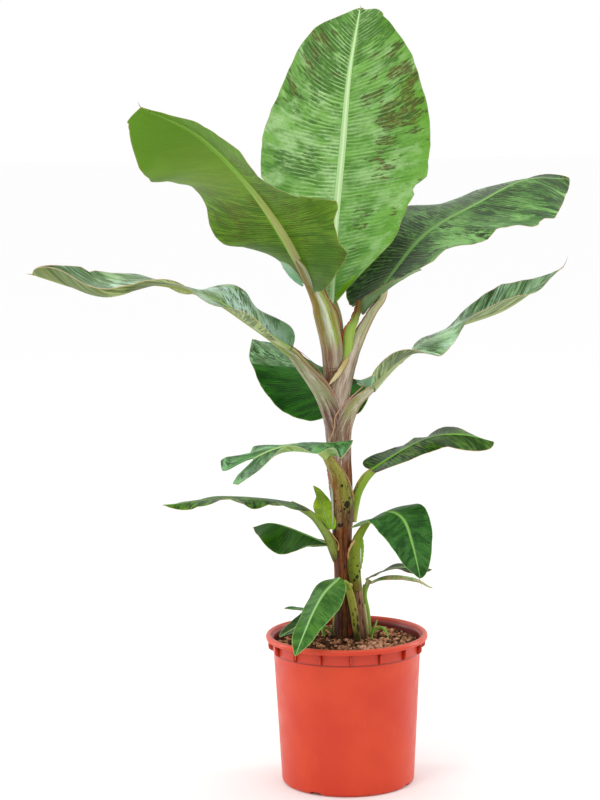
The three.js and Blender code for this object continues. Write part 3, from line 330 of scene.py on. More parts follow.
def ring_faces(rows, cols):
    """quads of a tube of `rows` rings of `cols` points"""
    i, j = np.meshgrid(np.arange(rows - 1), np.arange(cols), indexing="ij")
    a = i * cols + j
    b = i * cols + (j + 1) % cols
    return np.stack([a, b, b + cols, a + cols], -1).reshape(-1, 4)


class Pile:
    """many small closed bodies gathered into one mesh"""

    def __init__(self):
        self.co, self.q, self.t, self.at, self.n = [], [], [], {}, 0

    def add(self, co, quads=None, tris=None, **at):
        co = np.asarray(co, float)
        self.co.append(co)
        if quads is not None and len(quads):
            self.q.append(np.asarray(quads) + self.n)
        if tris is not None and len(tris):
            self.t.append(np.asarray(tris) + self.n)
        for k, v in at.items():
            self.at.setdefault(k, []).append(np.broadcast_to(np.asarray(v, float), (len(co),)))
        self.n += len(co)

    def make(self, name):
        q = np.concatenate(self.q) if self.q else np.zeros((0, 4), int)
        t = np.concatenate(self.t) if self.t else None
        return mesh_object(name, np.concatenate(self.co), q, t, {k: np.concatenate(v) for k, v in self.at.items()})


# ------------------------------------------------------------------ blades
def half_width(b, lobe, s):
    x = np.clip(s / b["widest"], 0, 1)
    foot = lobe + (1 - lobe) * np.clip(1 - (1 - x) ** b["foot"][0], 0, 1) ** (1 / b["foot"][1])
    y = np.clip((s - b["widest"]) / (1 - b["widest"]), 0, 1)
    cut = b.get("cut", 0.0)
    tip = cut + (1 - cut) * np.clip(1 - y ** b["tip"][0], 0, 1) ** (1 / b["tip"][1])
    return np.where(s < b["widest"], foot, tip)


def blade_spine(b):
    rib = np.asarray(b["rib"], float) / 1000
    C, L = even(rib, FINE)
    shift, over = b.get("ease", (0.0, 1.0))
    C[:, 0] += shift * np.exp(-np.linspace(0, 1, FINE + 1) * L / over)
    h = rib[-1] - rib[0]
    h[2] = 0
    h /= np.linalg.norm(h) + 1e-9
    T, N, S = frames(C, np.array([0, 0, 1.0]) - 0.6 * h)
    return C, T, N, S, L


def blade_foot(b):
    """where the blade's midrib starts, its direction and the way its upper side faces there"""
    C, T, N, S, L = blade_spine(b)
    r = b["roll"][0]
    return C[0], T[0], N[0] * math.cos(r) - S[0] * math.sin(r)


def blade_surface(b, seed, nq, table=400, wavy=0.0022, ragged=0.004):
    """Table of the blade's middle surface: G[k, j] over s (even) and columns (left margin to right margin),
    the share of the half width at each column, and the half widths."""
    C, T, N, S, L = blade_spine(b)
    s = np.linspace(0, 1, table + 1)
    pick = lambda A: np.stack([np.interp(s * FINE, np.arange(FINE + 1), A[:, k]) for k in range(3)], -1)
    c, t, n, sd = pick(C), unit(pick(T)), unit(pick(N)), unit(pick(S))
    roll = catmull(b["roll"], s)[:, None]
    sd, n = sd * np.cos(roll) + n * np.sin(roll), n * np.cos(roll) - sd * np.sin(roll)
    r0 = b.get("rib_r", 0.004)
    rib = r0 * np.clip(1 - s ** b.get("rib_e", 1.6), 0, 1) ** 0.8 + 0.0007
    rib = rib + max(0.0, 0.92 * b.get("foot_r", 0.0) - r0) * np.exp(-s * L / b.get("flare", 0.035))
    G = np.zeros((table + 1, 2 * nq + 1, 3))
    U = np.zeros((table + 1, 2 * nq + 1))
    W = []
    G[:, nq] = c
    near = 5
    for k, dr in ((0, -1), (1, 1)):
        w = np.maximum(0.0016, b["width"][k] / 1000 * half_width(b, b["lobe"][k], s))
        wob = Wobble(seed * 7 + k)
        edge = w * (1 + ragged * (2.2 * wob(s * L / 0.045) + 1.3 * wob(s * L / 0.016 + 9)) * np.clip(w / 0.02, 0, 1))
        corner = np.clip(s * L / 0.022, 0, 1)
        edge = edge * (0.30 + 0.70 * np.sqrt(1 - (1 - corner) ** 2))
        for side, at, half, deep in b.get("nicks", ()):
            if side == k:
                edge = edge * (1 - deep * np.clip(1 - np.abs(s - at) / half, 0, 1) ** 1.3)
        if b.get("trim") and b["trim"][k]:
            at, by = zip(*b["trim"][k])
            edge = edge * np.interp(s, at, by)
        edge = np.maximum(edge, 0.0012)
        fold, curl = catmull(b["fold"][k], s), catmull(b["curl"][k], s)
        fwd = b.get("fwd", [0.35, 0.35])[k]
        sweep = b["back"][k] * np.clip(1 - s / 0.3, 0, 1) ** 2 + fwd * np.clip((s - 0.55) / 0.45, 0, 1) ** 2
        rho = np.clip(1.25 * rib / edge, 0.02, 0.5)
        lip = np.clip(0.0016 / edge, 0.01, 0.12)
        u = [np.zeros_like(s)]
        for j in range(1, near + 1):
            u.append(rho * (j / near))
        for j in range(1, nq - near):
            u.append(rho + (1 - lip - rho) * j / (nq - near - 1))
        u.append(np.ones_like(s))
        p = c.copy()
        for j in range(1, nq + 1):
            du, um = u[j] - u[j - 1], (u[j] + u[j - 1]) / 2
            ph = fold + curl * um
            p = p + (edge * du)[:, None] * (dr * np.cos(ph)[:, None] * sd + np.sin(ph)[:, None] * n + sweep[:, None] * t)
            G[:, nq + dr * j] = p
            U[:, nq + dr * j] = dr * u[j]
        W.append(edge)
    # a slow ripple that grows towards the margin, and the larger waves named for this blade
    for k, dr in ((0, -1), (1, 1)):
        wob = Wobble(seed * 13 + 5 + k)
        wave = b.get("lift") and b["lift"][k]
        high = np.interp(s, *zip(*wave)) / 1000 if wave else np.zeros_like(s)
        for j in range(near, nq + 1):
            col = nq + dr * j
            sh = np.abs(U[:, col])
            lift = wavy * sh**2.5 * (wob(s * L / 0.055 + 3) + 0.5 * wob(s * L / 0.021 + 17)) * np.clip(W[k] / 0.04, 0.1, 1)
            lift = lift * np.clip(s / 0.05, 0, 1) * np.clip((1 - s) / 0.05, 0, 1) + high * sh**2
            G[:, col] = G[:, col] + n * lift[:, None]
    return s, G, U, W, rib, L


def blade_piece(name, b, seed, ns, nq, slant=0.36, bow=0.12, pitch=0.0058, relief=0.00022, thick=0.00045, **kw):
    """A blade as one closed thin body whose rows run along its side veins."""
    s, G, U, W, rib, L = blade_surface(b, seed, nq, **kw)
    cols = 2 * nq + 1
    i = np.arange(ns + 1) / ns
    s0 = 0.25 * (1 - np.cos(np.pi * i)) / 2 + 0.75 * i
    # how far a side vein has run towards the tip, for each metre it has run outwards
    lean = np.interp(s, [0, 0.25, 0.6, 0.85, 1], [0.0, slant * 0.25, slant, slant * 2.4, slant * 3.0])
    if b.get("cut", 0) > 0:
        lean = lean * np.clip((1 - s) / 0.3, 0, 1)
    P = np.zeros((ns + 1, cols, 3))
    SS = np.zeros((ns + 1, cols))
    UU = np.zeros((ns + 1, cols))
    OUT = np.zeros((ns + 1, cols))
    RIB = np.zeros((ns + 1, cols))
    for j in range(cols):
        w = W[0] if j < nq else W[1]
        q = np.abs(U[:, j]) * w
        start = s - lean * (q * (1 - bow) + bow * q * q / 0.06) / L
        start = np.maximum.accumulate(start + s * 1e-6)
        start = (start - start[0]) / (start[-1] - start[0])
        ss = np.interp(s0, start, s)
        if b.get("ends"):
            # a torn end: each strip of the blade stops at its own place along it
            far = abs(np.interp(0.94, s, q))
            stop = np.interp(far, *zip(*b["ends"][0 if j < nq else 1]))
            ss = np.where(ss > 0.7, 0.7 + (ss - 0.7) * (stop - 0.7) / 0.3, ss)
        SS[:, j] = ss
        for k in range(3):
            P[:, j, k] = np.interp(ss, s, G[:, j, k])
        UU[:, j] = np.interp(ss, s, U[:, j])
        OUT[:, j] = np.interp(ss, s, q) * (1 if j >= nq else -1)
        RIB[:, j] = np.interp(ss, s, rib)
    di = np.gradient(P, axis=0)
    dj = np.gradient(P, axis=1)
    n = unit(np.cross(dj, di))
    # keep the ends steady
    n[0], n[-1] = n[1], n[-2]
    vein = (s0 * L)[:, None] + np.zeros((1, cols))
    x = np.abs(OUT) / RIB
    lam = np.clip((x - 1.0) / 1.2, 0, 1)
    fade = lam * np.clip((1 - np.abs(UU)) / 0.06, 0, 1)
    jit = Wobble(seed + 31)
    cor = np.cos(2 * np.pi * (vein / pitch + 0.35 * jit(vein / 0.03, OUT / 0.05)))
    h = relief * cor * fade
    up = thick + 0.18 * RIB * np.exp(-(((x - 0.92) / 0.28) ** 2)) - 0.22 * RIB * np.clip(1 - x * x, 0, 1) + h
    keel = b.get("keel", 1.05)
    down = thick + keel * RIB * np.sqrt(np.clip(1 - np.minimum(x, 1) ** 2, 0, 1)) * np.clip((1 - SS) / 0.02, 0, 1) - h
    edge_t = 1 - 0.55 * np.clip((np.abs(UU) - 0.97) / 0.03, 0, 1)
    up = np.where(x > 1.4, up * edge_t, up)
    down = np.where(x > 1.4, down * edge_t, down)
    top = P + n * up[..., None]
    low = P - n * down[..., None]
    ring = np.concatenate([top, low[:, ::-1]], axis=1)
    both = lambda A: np.concatenate([A, A[:, ::-1]], axis=1)
    R = 2 * cols
    quads = [ring_faces(ns + 1, R)]
    for row, flip in ((0, False), (ns, True)):
        j = np.arange(cols - 1)
        a, bb = row * R + j, row * R + j + 1
        c, d = row * R + R - 2 - j, row * R + R - 1 - j
        q = np.stack([a, bb, c, d], -1)
        quads.append(q if not flip else q[:, ::-1])
    quads = np.concatenate(quads)[:, ::-1]
    w_at = np.where(OUT < 0, np.interp(SS, s, W[0]), np.interp(SS, s, W[1]))
    endd = np.minimum(SS, 1 - SS) * L * 0.5 + 0.002
    at = {
        "vein": both(vein + seed * 0.731),
        "out": both(OUT),
        "share": both(np.abs(UU)),
        "along": both(SS),
        "ribx": both(x),
        "edge": both(np.minimum((1 - np.abs(UU)) * w_at, np.where(SS > 0.5, endd, 1))),
        "under": np.concatenate([np.zeros_like(P[..., 0]), np.ones_like(P[..., 0])], axis=1),
    }
    return mesh_object(name, ring.reshape(-1, 3), quads, attrs={k: v.reshape(-1) for k, v in at.items()})


# ------------------------------------------------------------------ materials
def lin(hexcode):
    v = [int(hexcode[i : i + 2], 16) / 255 for i in (1, 3, 5)]
    return tuple(((c + 0.055) / 1.055) ** 2.4 if c > 0.04045 else c / 12.92 for c in v) + (1.0,)


class Shade:
    """a small helper to write node trees"""

    def __init__(self, name, rough=0.5, **sockets):
        self.m = bpy.data.materials.new(name)
        self.m.use_nodes = True
        self.t = self.m.node_tree
        self.t.nodes.clear()
        self.out = self.t.nodes.new("ShaderNodeOutputMaterial")
        self.b = self.t.nodes.new("ShaderNodeBsdfPrincipled")
        self.t.links.new(self.b.outputs[0], self.out.inputs[0])
        self.b.inputs["Roughness"].default_value = rough
        for k, v in sockets.items():
            self.b.inputs[k.replace("_", " ")].default_value = v

    def put(self, sock, v):
        if v is None:
            return
        if isinstance(v, bpy.types.NodeSocket):
            self.t.links.new(v, sock)
        elif isinstance(v, (tuple, list)):
            sock.default_value = tuple(v)
        else:
            sock.default_value = v

    def attr(self, name):
        n = self.t.nodes.new("ShaderNodeAttribute")
        n.attribute_name = name
        return n.outputs["Fac"]

    def obj(self):
        return self.t.nodes.new("ShaderNodeTexCoord").outputs["Object"]

    def split(self, v):
        n = self.t.nodes.new("ShaderNodeSeparateXYZ")
        self.put(n.inputs[0], v)
        return n.outputs

    def xyz(self, x=0.0, y=0.0, z=0.0):
        n = self.t.nodes.new("ShaderNodeCombineXYZ")
        for s, v in zip(n.inputs, (x, y, z)):
            self.put(s, v)
        return n.outputs[0]

    def op(self, kind, a, b=None, c=None, clamp=False):
        n = self.t.nodes.new("ShaderNodeMath")
        n.operation = kind
        n.use_clamp = clamp
        for s, v in zip(n.inputs, (a, b, c)):
            self.put(s, v)
        return n.outputs[0]

    def mul(self, a, b):
        return self.op("MULTIPLY", a, b)

    def add(self, a, b):
        return self.op("ADD", a, b)

    def step(self, x, lo, hi, a=0.0, b=1.0):
        n = self.t.nodes.new("ShaderNodeMapRange")
        n.interpolation_type = "SMOOTHSTEP"
        n.clamp = True
        for k, v in (("Value", x), ("From Min", lo), ("From Max", hi), ("To Min", a), ("To Max", b)):
            self.put(n.inputs[k], v)
        return n.outputs[0]

    def noise(self, vec, scale=1.0, detail=2.0, rough=0.5, distort=0.0):
        n = self.t.nodes.new("ShaderNodeTexNoise")
        self.put(n.inputs["Vector"], vec)
        for k, v in (("Scale", scale), ("Detail", detail), ("Roughness", rough), ("Distortion", distort)):
            self.put(n.inputs[k], v)
        return n.outputs[0]

    def cells(self, vec, scale=1.0):
        n = self.t.nodes.new("ShaderNodeTexVoronoi")
        self.put(n.inputs["Vector"], vec)
        self.put(n.inputs["Scale"], scale)
        return n.outputs["Distance"], n.outputs["Color"]

    def mix(self, f, a, b, kind="MIX"):
        n = self.t.nodes.new("ShaderNodeMix")
        n.data_type = "RGBA"
        n.blend_type = kind
        self.put(n.inputs[0], f)
        self.put(n.inputs[6], lin(a) if isinstance(a, str) else a)
        self.put(n.inputs[7], lin(b) if isinstance(b, str) else b)
        return n.outputs[2]

    def ramp(self, f, stops):
        n = self.t.nodes.new("ShaderNodeValToRGB")
        self.put(n.inputs[0], f)
        e = n.color_ramp.elements
        while len(e) < len(stops):
            e.new(0.5)
        for el, (p, c) in zip(e, stops):
            el.position = p
            el.color = lin(c) if isinstance(c, str) else c
        return n.outputs[0]

    def colour(self, c):
        self.put(self.b.inputs["Base Color"], lin(c) if isinstance(c, str) else c)

    def rough(self, r):
        self.put(self.b.inputs["Roughness"], r)

    def bump(self, h, strength=0.5, dist=0.001):
        n = self.t.nodes.new("ShaderNodeBump")
        n.inputs["Strength"].default_value = strength
        n.inputs["Distance"].default_value = dist
        self.put(n.inputs["Height"], h)
        self.put(self.b.inputs["Normal"], n.outputs[0])


LEAF_LOOK = dict(
    dark="#4f7f34", light="#7fb45c",
    blotch="#3f5f26", much=(0.4, 0.4), blotch_mix=0.75,
    brown="#66602a", brown_much=(0.0, 0.0), brown_mix=0.8,
    clumps=(), brown_clumps=(), patch=(56, 23), lines=(0.30, 0.98), grain=1.0,
    bloom="#b9d6b4", bloom_mix=(0.4, 0.4), veins=(0.5, 0.5), vein_to="#a9cf88", groove="#3f6a2a", groove_mix=0.35,
    rim="#7fb45c", rim_mix=(0.0, 0.0), foot=None, tip=None,
    under_dark="#5e812f", under_light="#7b9a47", under_blotch=0.15, under_veins=0.3, under_line="#93ad66", under_bloom=0.2, under_fleck=0.35, under_foot=None, under_tip=None,
    rib="#a9cf74", rib_mid="#c3dc9b", rib_edge="#4f7f34", rib_under="#93a94e", rib_under_mid="#b3b478", rib_foot=None, rib_far=None,
    flank=None, far=None, under_light_and_shade=(), right_tint=None, margin="#a9a06a", margin_mix=1.0, fleck=0.5, shine=0.20, blotch_lo=None, gloss=0.40, pitch=0.0058, gain=(1, 1, 1), under_gain=(1, 1, 1),
)


def leaf_material(name, seed, **look):
    p = dict(LEAF_LOOK)
    p.update(look)
    g = Shade(name, rough=p["gloss"], Specular_IOR_Level=p["shine"])
    vein, out, share, along = g.attr("vein"), g.attr("out"), g.attr("share"), g.attr("along")
    under, ribx, edge = g.attr("under"), g.attr("ribx"), g.attr("edge")
    k = p["grain"]
    right = g.step(out, -0.001, 0.001)

    def sides(pair, more=None):
        """a number for the left half and one for the right"""
        v = p[pair] if isinstance(pair, str) else pair
        return v[0] if v[0] == v[1] else g.add(g.mul(right, v[1] - v[0]), v[0])

    # tone that drifts across the blade, drawn out along the side veins
    drift = g.noise(g.xyz(g.mul(vein, 40 * k), g.mul(out, 14 * k), seed * 1.7), 1.0, 3.0, 0.6)
    fine = g.noise(g.xyz(g.mul(vein, 900), g.mul(out, 22), seed * 2.3), 1.0, 3.0, 0.65)
    tone = g.step(g.add(g.mul(drift, 0.66), g.mul(fine, 0.34)), 0.40, 0.60)
    up = g.mix(tone, p["dark"], p["light"])
    up = g.mix(g.mul(g.step(share, 0.45, 1.0), sides("rim_mix")), up, p["rim"])
    # waxy bloom in cloudy patches
    wax = g.noise(g.xyz(g.mul(vein, 62 * k), g.mul(out, 30 * k), seed * 3.1 + 5), 1.0, 5.0, 0.68)
    wide = g.noise(g.xyz(g.mul(vein, 15 * k), g.mul(out, 13 * k), seed * 3.7 + 8), 1.0, 1.0, 0.5)
    waxy = g.step(g.add(g.mul(wax, 0.6), g.mul(wide, 0.4)), 0.44, 0.62)
    up = g.mix(g.mul(waxy, sides("bloom_mix")), up, p["bloom"])
    # blotches: patches with ends that run out in streaks along the veins
    density = g.noise(g.xyz(g.mul(vein, 17 * k), g.mul(out, 13 * k), seed * 0.9 + 31), 1.0, 1.0, 0.5)
    streak = g.noise(g.xyz(g.mul(vein, 420 * k), g.mul(out, 34 * k), seed * 1.9 + 23), 1.0, 3.0, 0.7)

    def thick_in(spots):
        """where patches stand thick: soft ovals given by place along and out from the midrib, their reach, and how thick"""
        total = None
        for a, o, ra, ro, w in spots:
            du = g.mul(g.op("SUBTRACT", along, a), 1.0 / ra)
            dv = g.mul(g.op("SUBTRACT", out, o), 1.0 / ro)
            here = g.step(g.add(g.mul(du, du), g.mul(dv, dv)), 0.0, 1.3, w, 0.0)
            total = here if total is None else g.add(total, here)
        return total

    def patches(amount, off, spots):
        patch = g.noise(g.xyz(g.mul(vein, p["patch"][0] * k), g.mul(out, p["patch"][1] * k), seed * 1.1 + off), 1.0, 3.0, 0.6)
        raw = g.add(g.add(g.mul(patch, 0.56), g.mul(streak, 0.24)), g.mul(density, 0.20))
        if spots:
            raw = g.add(raw, g.mul(thick_in(spots), 0.14))
        thr = g.op("SUBTRACT", 0.61, g.mul(sides(amount), 0.14)) if p[amount][0] != p[amount][1] else 0.61 - 0.14 * p[amount][0]
        lo, hi = g.op("SUBTRACT", thr, 0.008), g.add(thr, 0.018)
        return g.mul(g.step(raw, lo, hi), g.step(share, 0.03, 0.10))

    dots = patches("much", 11, p["clumps"])
    spark = g.noise(g.xyz(g.mul(vein, 260 * k), g.mul(out, 95 * k), seed * 1.3 + 90), 1.0, 3.0, 0.65)
    worn = g.step(g.add(g.mul(spark, 0.6), g.mul(streak, 0.4)), 0.40, 0.52, 0.30, 1.0)
    up = g.mix(g.mul(g.step(spark, 0.56, 0.66), p["fleck"]), up, p["dark"])
    up = g.mix(g.mul(g.mul(dots, worn), p["blotch_mix"]), up, g.mix(fine, p["blotch"], p["dark"]))
    if max(p["brown_much"]) > 0 or p["brown_clumps"]:
        tan = patches("brown_much", 57, p["brown_clumps"])
        up = g.mix(g.mul(g.mul(tan, worn), p["brown_mix"]), up, g.mix(g.step(streak, 0.35, 0.65), p["brown"], p["blotch"]))
    # side veins: thin pale raised lines, a little darker between
    t = g.add(g.mul(vein, 1.0 / p["pitch"]), g.mul(g.noise(g.xyz(g.mul(vein, 60), g.mul(out, 18), seed), 1.0, 1.0), 1.1))
    saw = g.op("MULTIPLY", g.op("ABSOLUTE", g.op("SUBTRACT", g.op("FRACT", t), 0.5)), 2.0)
    patchy = g.step(g.noise(g.xyz(g.mul(vein, 55), g.mul(out, 30), seed + 40.0), 1.0, 2.0), 0.34, 0.62, 0.15, 1.0)
    near = g.step(share, p["lines"][0], p["lines"][1], 1.0, 0.15)
    line = g.mul(g.mul(g.step(saw, 0.70, 1.0), patchy), near)
    groove = g.mul(g.mul(g.step(saw, 0.15, 0.55, 1.0, 0.0), patchy), near)
    up = g.mix(g.mul(g.mul(groove, sides("veins")), p["groove_mix"]), up, p["groove"])
    up = g.mix(g.mul(line, sides("veins")), up, p["vein_to"])
    if p["foot"]:
        up = g.mix(g.step(along, 0.02, 0.22, 0.75, 0.0), up, p["foot"])
    if p["tip"]:
        up = g.mix(g.step(along, 0.72, 0.97, 0.0, 0.75), up, p["tip"])
    if tuple(p["gain"]) != (1, 1, 1):
        up = g.mix(1.0, up, tuple(p["gain"]) + (1.0,), "MULTIPLY")
    # painted light: over the far part of the blade, left of the midrib, a pale mottled green stands in for the light on
    # the part that bends over
    if p["far"]:
        lo_at, hi_at, col, mid, dark = p["far"]
        painted_light_zone = g.mul(g.step(along, lo_at, hi_at), g.op("SUBTRACT", 1.0, right))
        cloud = g.step(g.add(g.mul(wax, 0.5), g.mul(streak, 0.5)), 0.42, 0.56)
        pale = g.mix(g.step(g.add(g.mul(spark, 0.5), g.mul(streak, 0.5)), 0.47, 0.56), g.mix(cloud, mid, col), dark)
        up = g.mix(g.mul(painted_light_zone, 0.92), up, pale)
    # underside
    silk = g.noise(g.xyz(g.mul(vein, 260), g.mul(out, 10), seed + 71.0), 1.0, 3.0, 0.6)
    shade_lo = g.step(g.add(g.mul(drift, 0.34), g.add(g.mul(silk, 0.36), g.mul(fine, 0.30))), 0.42, 0.58)
    lo = g.mix(shade_lo, p["under_dark"], p["under_light"])
    lo = g.mix(g.mul(waxy, p["under_bloom"]), lo, p["bloom"])
    lo = g.mix(g.mul(dots, p["under_blotch"]), lo, p["blotch_lo"] or p["blotch"])
    lo = g.mix(g.mul(g.step(spark, 0.54, 0.64), p["under_fleck"]), lo, p["blotch_lo"] or p["under_dark"])
    # painted shade and painted light: soft ovals of darker green where the underside lies in shade and of paler green
    # where it catches the light
    for at, o, reach, wide, col, amount in p["under_light_and_shade"]:
        lo = g.mix(thick_in(((at, o, reach, wide, amount),)), lo, col)
    lo = g.mix(g.mul(line, p["under_veins"]), lo, p["under_line"])
    lo = g.mix(g.mul(groove, 0.6 * p["under_veins"]), lo, p["groove"])
    if p["right_tint"]:
        lo = g.mix(g.mul(g.mul(right, g.step(along, 0.40, 0.60)), 0.65), lo, p["right_tint"])
    if p["under_foot"]:
        lo = g.mix(g.step(along, 0.0, 0.40, 0.85, 0.0), lo, p["under_foot"])
    if p["under_tip"]:
        lo = g.mix(g.step(along, 0.50, 0.92, 0.0, 0.8), lo, p["under_tip"])
    if tuple(p["under_gain"]) != (1, 1, 1):
        lo = g.mix(1.0, lo, tuple(p["under_gain"]) + (1.0,), "MULTIPLY")
    # midrib
    on_rib = g.step(ribx, 0.92, 1.10, 1.0, 0.0)
    fibre = g.noise(g.xyz(g.mul(vein, 14), g.mul(ribx, 6.0), seed + 60.0), 1.0, 3.0, 0.6)
    rib_up = g.mix(g.step(ribx, 0.10, 0.50), p["rib_mid"], p["rib"])
    rib_up = g.mix(g.mul(g.step(fibre, 0.5, 0.75), 0.35), rib_up, p["rib_mid"])
    rib_up = g.mix(g.step(ribx, 0.84, 1.02, 0.0, 0.8), rib_up, p["rib_edge"])
    rib_lo = g.mix(g.mul(g.step(fibre, 0.40, 0.75), 0.6), p["rib_under"], p["rib_under_mid"])
    if p["rib_foot"]:
        rib_lo = g.mix(g.mul(g.step(along, 0.10, 0.30, 1.0, 0.0), g.step(fibre, 0.35, 0.60, 0.5, 1.0)), rib_lo, p["rib_foot"])
    if p["rib_far"]:
        rib_lo = g.mix(g.step(along, 0.34, 0.62), rib_lo, p["rib_far"])
    if p["flank"]:
        # a bright green edge runs along the right of the rib, behind a dark line of painted shade on the rib's right
        # flank
        stripe = g.mul(g.step(ribx, 1.02, 1.12), g.step(ribx, 1.55, 1.85, 1.0, 0.0))
        lo = g.mix(g.mul(g.mul(stripe, right), g.step(along, 0.86, 0.93, 0.95, 0.0)), lo, p["flank"])
        rib_lo = g.mix(g.mul(g.mul(g.step(ribx, 0.72, 0.92), right), 0.75), rib_lo, p["rib_edge"])
    up = g.mix(on_rib, up, rib_up)
    lo = g.mix(on_rib, lo, rib_lo)
    c = g.mix(under, up, lo)
    # thin dry margin
    rim = g.noise(g.xyz(g.mul(vein, 90), 0.0, seed + 3.0), 1.0, 3.0, 0.7)
    width = g.step(rim, 0.35, 0.7, 0.0007, 0.0020)
    hem = g.op("SUBTRACT", 1.0, g.op("DIVIDE", edge, width), clamp=True)
    c = g.mix(g.mul(g.step(hem, 0.0, 0.5), p["margin_mix"]), c, p["margin"])
    g.colour(c)
    g.rough(g.add(g.mul(under, 0.14), g.step(fine, 0.2, 0.8, p["gloss"] - 0.05, p["gloss"] + 0.06)))
    h = g.add(g.mul(saw, 0.45), g.mul(fine, 0.45))
    g.bump(h, 0.5, 0.0006)
    return g.m


def pot_material():
    g = Shade("pot_plastic", rough=0.32, Specular_IOR_Level=0.42)
    o = g.obj()
    x, y, z = g.split(o)
    r = g.op("SQRT", g.add(g.mul(x, x), g.mul(y, y)))
    big = g.noise(o, 9.0, 3.0, 0.6)
    c = g.mix(g.step(big, 0.35, 0.7), "#c22f0a", "#ca3b10")
    # scuffs run round and down the wall
    ang = g.op("ARCTAN2", y, x)
    sc = g.noise(g.xyz(g.mul(ang, 22.0), g.mul(z, 9.0), 3.0), 1.0, 4.0, 0.75)
    c = g.mix(g.mul(g.step(sc, 0.60, 0.78), 0.16), c, "#e07a62")
    dusty = g.noise(o, 60.0, 5.0, 0.75)
    c = g.mix(g.mul(g.step(dusty, 0.62, 0.80), 0.10), c, "#b98a72")
    # the band under the lip a little darker red; painted shade in the crease at the band's foot and in the corner under
    # the lip
    band = g.mul(g.step(z, 0.2555, 0.2575), g.step(z, 0.2785, 0.2800, 1.0, 0.0))
    c = g.mix(g.mul(band, 0.45), c, "#b22e1a")
    c = g.mix(g.mul(g.mul(g.step(z, 0.2540, 0.2552), g.step(z, 0.2576, 0.2590, 1.0, 0.0)), 0.75), c, "#7a1a10")
    c = g.mix(g.mul(g.mul(g.step(z, 0.2762, 0.2778), g.step(r, 0.1440, 0.1455, 1.0, 0.0)), 0.7), c, "#7f1c10")
    # painted shade in the corner on both sides of each rib
    part = g.mul(g.op("SUBTRACT", ang, math.radians(FIN_TURN)), FINS / (2 * math.pi))
    arc = g.mul(g.op("ABSOLUTE", g.op("SUBTRACT", g.op("FRACT", g.add(part, 0.5)), 0.5)), 2 * math.pi / FINS * POT_BAND_R)
    fin_shade = g.mul(g.step(arc, FIN_T * 0.40, FIN_T * 0.55), g.step(arc, FIN_T * 0.8, FIN_T * 1.25, 1.0, 0.0))
    c = g.mix(g.mul(g.mul(g.mul(fin_shade, g.step(z, 0.2565, 0.2580)), g.step(r, 0.1450, 0.1465, 1.0, 0.0)), g.step(r, 0.1418, 0.1422, 0.0, 0.8)), c, "#7a1a10")
    # painted shade on the pot's inner wall above the soil
    inner_wall_shade = g.mul(g.step(r, 0.1402, 0.1408, 1.0, 0.0), g.step(z, 0.262, 0.265))
    c = g.mix(g.mul(inner_wall_shade, 0.95), c, "#621208")
    # painted highlight along the top of the rolled rim
    c = g.mix(g.mul(g.step(z, 0.2845, 0.2895), 0.35), c, "#de6a50")
    g.colour(c)
    g.rough(g.step(g.noise(o, 40.0, 4.0, 0.6), 0.3, 0.7, 0.33, 0.46))
    rings = g.noise(g.xyz(0.0, 0.0, g.mul(z, 700.0)), 1.0, 1.0)
    grain = g.noise(o, 900.0, 2.0, 0.5)
    g.bump(g.add(g.add(g.mul(grain, 0.35), g.mul(rings, 0.25)), g.mul(g.noise(o, 30.0, 2.0), 0.6)), 0.25, 0.0006)
    return g.m


def soil_material():
    g = Shade("potting_mix", rough=0.92, Specular_IOR_Level=0.1)
    o = g.obj()
    tint = g.attr("tint")
    n = g.noise(o, 170.0, 5.0, 0.7)
    c = g.mix(g.step(n, 0.35, 0.65), "#1c0f0a", "#6a4432")
    c = g.mix(g.step(tint, 0.26, 0.44), c, g.mix(g.step(n, 0.36, 0.60), "#6c422a", "#d4986c"))
    c = g.mix(g.step(tint, 0.52, 0.70), c, g.mix(g.step(n, 0.35, 0.62), "#b0745c", "#e8b498"))
    c = g.mix(g.step(tint, 0.90, 0.97), c, "#e4ccb8")
    g.colour(c)
    g.bump(g.add(n, g.mul(g.noise(o, 700.0, 3.0, 0.6), 0.6)), 0.9, 0.002)
    return g.m


STALK_LOOK = dict(
    bands=((-1, "#8b8a55"), (0, "#a7a56d"), (1, "#8b8a55")), low=((-1, "#7a5648"), (0, "#7a5648"), (1, "#6b4a3c")),
    low_from=0.08, low_to=0.22, streak="#5f4430", streak_mix=0.40, bloom="#b8aea2", bloom_mix=0.40, freckle=0.15,
    edge="#b7836f", edge_low="#8f4a3c", groove="#8fae4e", spots=0.0, spots_from=0.0, spots_to=9.0, blobs=(), rings=(),
    feet=None, base=None, patch=None, gloss=0.45, gain=(1, 1, 1),
)


